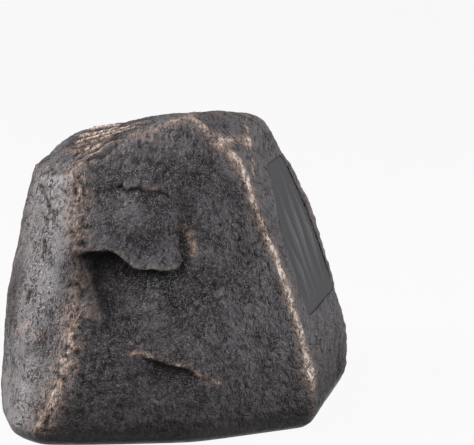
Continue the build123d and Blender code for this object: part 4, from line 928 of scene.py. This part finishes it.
# Kinds of shader node, and the settings that several of them share.
MATH, RANGE, MIX = "ShaderNodeMath", "ShaderNodeMapRange", "ShaderNodeMix"
NOISE, CELLS = "ShaderNodeTexNoise", "ShaderNodeTexVoronoi"
COORDINATES, CARRIED, BUMP = "ShaderNodeTexCoord", "ShaderNodeAttribute", "ShaderNodeBump"
TIMES = {"operation": "MULTIPLY"}
TIMES_PLUS = {"operation": "MULTIPLY_ADD"}
LARGER = {"operation": "MAXIMUM"}
PLUS_CLAMPED = {"operation": "ADD", "use_clamp": True}
SMOOTH = {"interpolation_type": "SMOOTHSTEP"}
COLOURS = {"data_type": "RGBA"}
MIXED_COLOUR = 2


def join(tree, made, **inputs):
    """Links or sets a node's inputs, each by its name with _ for a space, or by i and its number."""
    for name, value in inputs.items():
        socket = made.inputs[int(name[1:]) if name[1:].isdigit() else name.replace("_", " ")]
        if isinstance(value, bpy.types.NodeSocket):
            tree.links.new(value, socket)
        else:
            socket.default_value = value


def node(tree, kind, settings=None, output=0, **inputs):
    """Adds a node with settings by name and inputs that are linked or set, and gives one of its outputs."""
    made = tree.nodes.new(kind)
    for name, value in (settings or {}).items():
        setattr(made, name, value)
    join(tree, made, **inputs)
    return made.outputs[output]


def per_mm(size):
    """The scale at which a texture's pattern repeats about every size in mm, on coordinates in metres."""
    return 1000.0 / size


def rock_paint():
    """Glass-filled resin, moulded from real stone and sprayed charcoal, with painted shade darkening its
    hollows, pits, cracks and creases, painted light on its bulges, brow and sides, and bronze dry-brushed
    over
    its ridges: matt and gritty, with a satin sheen where it is smooth.
    Pits and grit are drawn a little coarser than they are, so that they show."""
    material, tree, shader = new_material("moulded_resin_charcoal")
    spot = node(tree, COORDINATES, output="Object")
    shares = [node(tree, CARRIED, {"attribute_name": name}, "Fac") for name in PAINT_SHARES]
    worn, painted_shade, smooth, proud_and_painted_light = shares
    cloud = node(tree, NOISE, Vector=spot, Scale=per_mm(CLOUD_GRAIN), Detail=3.0)
    lump = node(tree, NOISE, Vector=spot, Scale=per_mm(LUMP_GRAIN), Detail=4.0, Roughness=0.6)
    grit = node(tree, NOISE, Vector=spot, Scale=per_mm(GRIT_GRAIN), Detail=1.0, Roughness=0.7)
    drawn = node(tree, "ShaderNodeMapping", Vector=spot, Rotation=CRUST_TURN, Scale=CRUST_STRETCH)
    crust = node(tree, NOISE, Vector=drawn, Scale=per_mm(CRUST_GRAIN), Detail=3.0, Roughness=0.7,
                 Distortion=0.3)
    folds = node(tree, NOISE, Vector=drawn, Scale=per_mm(FOLD_GRAIN), Detail=4.0, Roughness=0.62,
                 Distortion=0.4)
    folds = node(tree, MATH, {"operation": "SUBTRACT"}, i0=folds, i1=0.5)
    folds = node(tree, MATH, {"operation": "ABSOLUTE"}, i0=folds)

    # Pits, cracks and creases are painted dark, as shade in them.
    shaded_crease = node(tree, RANGE, SMOOTH, Value=folds, From_Min=0.0, From_Max=0.028, To_Min=1.0, To_Max=0.0)
    some = node(tree, RANGE, SMOOTH, Value=lump, From_Min=0.46, From_Max=0.55)
    shaded_crease = node(tree, MATH, TIMES, i0=shaded_crease, i1=some)
    cells = node(tree, CELLS, Vector=drawn, Scale=per_mm(PIT_SPACING))
    ragged = node(tree, MATH, TIMES_PLUS, i0=grit, i1=0.3, i2=cells)
    shaded_pits = node(tree, RANGE, SMOOTH, Value=ragged, From_Min=0.27, From_Max=0.36, To_Min=1.0, To_Max=0.0)
    shaded_cracks = node(tree, RANGE, SMOOTH, Value=crust, From_Min=0.3, From_Max=0.38, To_Min=0.7, To_Max=0.0)
    shaded_pits = node(tree, MATH, LARGER, i0=shaded_pits, i1=shaded_cracks)
    shaded_pits = node(tree, MATH, LARGER, i0=shaded_pits, i1=shaded_crease)

    # The painted light share lifts the tone: painted light on bulges, the brow, the right and the left
    # face.
    tone_and_painted_light = node(tree, RANGE, Value=cloud, From_Min=0.3, From_Max=0.7, To_Min=-0.2, To_Max=0.2)
    tone_and_painted_light = node(tree, MATH, PLUS_CLAMPED, i0=tone_and_painted_light, i1=proud_and_painted_light)
    base = node(tree, MIX, COLOURS, MIXED_COLOUR, i0=tone_and_painted_light, i6=linear("#151415"), i7=linear("#454345"))
    speck = node(tree, RANGE, Value=grit, From_Min=0.5, From_Max=0.7)
    base = node(tree, MIX, COLOURS, MIXED_COLOUR, i0=speck, i6=base, i7=linear("#5a585b"))
    # Painted shade in the hollows, pits, cracks and creases.
    pit_and_hollow_shade = node(tree, MATH, LARGER, i0=painted_shade, i1=shaded_pits)
    pit_and_hollow_shade = node(tree, MATH, TIMES, i0=pit_and_hollow_shade, i1=0.75)
    base = node(tree, MIX, COLOURS, MIXED_COLOUR, i0=pit_and_hollow_shade, i6=base, i7=linear("#151314"))
    brush = node(tree, RANGE, Value=crust, From_Min=0.42, From_Max=0.58)
    brush = node(tree, MATH, TIMES_PLUS, i0=brush, i1=0.8, i2=0.2)
    brush = node(tree, MATH, TIMES, i0=brush, i1=worn)
    pale = node(tree, RANGE, Value=worn, From_Min=0.45, From_Max=0.95)
    bronze = node(tree, MIX, COLOURS, MIXED_COLOUR, i0=pale, i6=linear("#957a68"), i7=linear("#b5a69c"))
    base = node(tree, MIX, COLOURS, MIXED_COLOUR, i0=brush, i6=base, i7=bronze)

    relief = node(tree, MATH, TIMES_PLUS, i0=lump, i1=6.0, i2=crust)
    relief = node(tree, MATH, TIMES_PLUS, i0=folds, i1=4.0, i2=relief)
    relief = node(tree, MATH, TIMES_PLUS, i0=grit, i1=0.4, i2=relief)
    calm = node(tree, RANGE, Value=smooth, To_Min=1.0, To_Max=0.3)
    relief = node(tree, MATH, TIMES, i0=relief, i1=calm)
    relief = node(tree, MATH, TIMES_PLUS, i0=shaded_pits, i1=-0.8, i2=relief)
    bump = node(tree, BUMP, Strength=1.0, Distance=ROCK_RELIEF * MM, Height=relief)
    dull = node(tree, RANGE, Value=smooth, To_Min=0.8, To_Max=0.34)
    join(tree, shader, Base_Color=base, Roughness=dull, Normal=bump, IOR=1.5, Specular_IOR_Level=0.1)
    return material


def grille_paint():
    """Perforated steel sheet, powder-coated dark grey: a fine satin texture, with rows of small dark holes.
    The coat is painted lighter on the folds' crests and darker between them, as painted light and shade.
    The holes are drawn at a pitch a little coarser than theirs, so that they show."""
    material, tree, shader = new_material("powder_coated_perforated_steel")
    flat = node(tree, "ShaderNodeUVMap", {"uv_map": "sheet"})
    spot = node(tree, COORDINATES, output="Object")
    crest = node(tree, CARRIED, {"attribute_name": "crest"}, "Fac")
    rows = node(tree, CELLS, Vector=flat, Scale=per_mm(HOLE_PITCH), Randomness=0.0)
    hole = node(tree, RANGE, Value=rows, From_Min=0.24, From_Max=0.36, To_Min=1.0, To_Max=0.0)
    coat = node(tree, NOISE, Vector=spot, Scale=per_mm(COAT_GRAIN), Detail=2.0)
    cloud = node(tree, NOISE, Vector=spot, Scale=per_mm(SHADE_GRAIN), Detail=2.0)
    # Painted light and shade: lighter on the folds' crests, darker between them.
    tone_and_painted_light = node(tree, MATH, TIMES_PLUS, i0=cloud, i1=0.4, i2=-0.2)
    tone_and_painted_light = node(tree, MATH, PLUS_CLAMPED, i0=tone_and_painted_light, i1=crest)
    base = node(tree, MIX, COLOURS, MIXED_COLOUR, i0=tone_and_painted_light, i6=linear("#29292b"), i7=linear("#4b4b4d"))
    base = node(tree, MIX, COLOURS, MIXED_COLOUR, i0=hole, i6=base, i7=linear("#1a1a1b"))
    relief = node(tree, MATH, TIMES_PLUS, i0=hole, i1=-1.0, i2=coat)
    bump = node(tree, BUMP, Strength=0.3, Distance=COAT_RELIEF * MM, Height=relief)
    join(tree, shader, Base_Color=base, Normal=bump, Roughness=0.7, Specular_IOR_Level=0.2)
    return material


def plain_finish(name, light, dark, grain_mm, roughness, metallic, depth_mm):
    """An inner piece's finish: two close tones in grains of that size, and a relief of that depth."""
    material, tree, shader = new_material(name)
    spot = node(tree, COORDINATES, output="Object")
    speck = node(tree, NOISE, Vector=spot, Scale=per_mm(grain_mm), Detail=4.0)
    base = node(tree, MIX, COLOURS, MIXED_COLOUR, i0=speck, i6=linear(dark), i7=linear(light))
    dull = node(tree, RANGE, Value=speck, To_Min=roughness - 0.08, To_Max=roughness + 0.08)
    bump = node(tree, BUMP, Strength=0.5, Distance=depth_mm * MM, Height=speck)
    join(tree, shader, Base_Color=base, Roughness=dull, Normal=bump, Metallic=metallic)
    return material


def shown(tree):
    """One for the rays that show the studio itself: straight to the camera, mirrored or let through."""
    path = node(tree, "ShaderNodeLightPath").node.outputs
    seen = node(tree, MATH, LARGER, i0=path["Is Camera Ray"], i1=path["Is Glossy Ray"])
    return node(tree, MATH, LARGER, i0=seen, i1=path["Is Transmission Ray"])


def floor_paint():
    """Pale studio paper: white to the camera and in reflections, with a share of plain matt paper that
    keeps the rock's shadow."""
    material, tree, shader = new_material("studio_paper")
    join(tree, shader, Base_Color=linear("#747474"), Roughness=0.9)
    white = node(tree, "ShaderNodeEmission", Strength=1.0)
    part = node(tree, MATH, TIMES, i0=shown(tree), i1=PAPER_WHITE)
    mixed = node(tree, "ShaderNodeMixShader", i0=part, i1=shader.outputs["BSDF"], i2=white)
    tree.links.new(mixed, tree.nodes["Material Output"].inputs["Surface"])
    return material


def turned(at, way):
    """The place and turn of a lamp or camera that stands at a place in mm and looks along a way."""
    return Matrix.Translation(Vector(at) * MM) @ way.to_track_quat("-Z", "Y").to_matrix().to_4x4()


def soft_box(name, at, width, height, power):
    """A rectangular soft light of that width and height at a place, in mm, turned to the lamps' aim."""
    lamp = bpy.data.lights.new(name, "AREA")
    lamp.shape = "RECTANGLE"
    lamp.size, lamp.size_y = width * MM, height * MM
    lamp.energy = power
    box = bpy.data.objects.new(name, lamp)
    box.matrix_world = turned(at, Vector(LAMP_AIM) - Vector(at))
    bpy.context.scene.collection.objects.link(box)


rock.data.materials.clear()
rock.data.materials.append(rock_paint())
grille.data.materials.clear()
grille.data.materials.append(grille_paint())

# Finishes of the other pieces, by the record's slot: name, two tones, grain in mm, roughness, metallic and
# relief in mm.
FINISHES = {
    "black_abs": ("moulded_abs_black", "#2b2b2d", "#1c1c1e", 0.9, 0.55, 0.0, 0.08),
    "foam_rubber": ("closed_cell_foam", "#2c2c2c", "#161616", 0.7, 0.9, 0.0, 0.15),
    "stainless_steel": ("stainless_steel", "#b9b9b4", "#9c9c98", 0.6, 0.3, 1.0, 0.02),
    "black_nylon": ("moulded_nylon_black", "#2a2a2a", "#1a1a1a", 0.8, 0.45, 0.0, 0.05),
    "seal_rubber": ("butyl_rubber", "#242424", "#141414", 1.2, 0.6, 0.0, 0.05),
    "black_cloth": ("woven_polyester_black", "#1f1f20", "#0f0f10", 0.6, 0.9, 0.0, 0.12),
    "black_steel": ("painted_steel_black", "#262626", "#171717", 1.1, 0.4, 0.0, 0.05),
    "black_screws": ("black_zinc_steel", "#333334", "#1d1d1e", 0.6, 0.4, 0.8, 0.02),
    "plated_steel": ("zinc_plated_steel", "#a9abad", "#8d8f92", 0.8, 0.32, 1.0, 0.03),
    "ferrite": ("sintered_ferrite", "#37383a", "#252628", 0.8, 0.6, 0.0, 0.06),
    "aluminium_foil": ("aluminium_foil", "#c9cacc", "#adafb2", 0.8, 0.3, 1.0, 0.02),
    "copper": ("enamelled_copper_wire", "#b8683c", "#8c4a26", 0.5, 0.35, 1.0, 0.1),
    "polypropylene": ("moulded_polypropylene", "#303032", "#202022", 1.0, 0.45, 0.0, 0.05),
    "cotton_cloth": ("resin_dipped_cotton", "#b89858", "#96783f", 0.6, 0.85, 0.0, 0.12),
    "phenolic_board": ("phenolic_board", "#8f6a3f", "#75542f", 1.0, 0.6, 0.0, 0.04),
    "capacitor_film": ("polyester_film_wrap", "#b8912c", "#a07c20", 1.5, 0.3, 0.0, 0.02),
    "cement": ("cement_ceramic", "#d8d5cb", "#c4c1b6", 1.0, 0.85, 0.0, 0.08),
}
finished = {slot: plain_finish(*values) for slot, values in FINISHES.items()}
for entry in frame["record"]["subparts"]:
    if entry["material_slot"] in finished:
        mesh = frame["nodes"][entry["node"]].data
        mesh.materials.clear()
        mesh.materials.append(finished[entry["material_slot"]])

# Floor, light and camera
floor_corners = [(x * FLOOR_REACH, y * FLOOR_REACH, 0.0) for x, y in ((-1, -1), (1, -1), (1, 1), (-1, 1))]
floor = new_piece("floor", floor_corners, [np.array([[0, 1, 2, 3]])])
floor.data.materials.append(floor_paint())

world = bpy.data.worlds.new("studio")
bpy.context.scene.world = world
world.use_nodes = True
sky = world.node_tree
strength = node(sky, RANGE, Value=shown(sky), To_Min=SKY_LIGHT, To_Max=1.0)
join(sky, sky.nodes["Background"], Color=(1.0, 1.0, 1.0, 1.0), Strength=strength)

for name, values in SOFT_BOXES.items():
    soft_box(name, *values)

lens = bpy.data.cameras.new("camera")
lens.sensor_width = SENSOR_WIDTH
lens.lens = SENSOR_WIDTH * LENS_PIXELS / IMAGE_WIDTH
lens.clip_end = FAR_CLIP
camera = bpy.data.objects.new("camera", lens)
view = -Vector(CAMERA_BACK) * LENS_PIXELS + Vector(CAMERA_RIGHT) * AIM_RIGHT + Vector(CAMERA_UP) * AIM_UP
camera.matrix_world = turned(CAMERA_AT, view)
bpy.context.scene.collection.objects.link(camera)
bpy.context.scene.camera = camera
bpy.context.scene.view_settings.view_transform = "Standard"
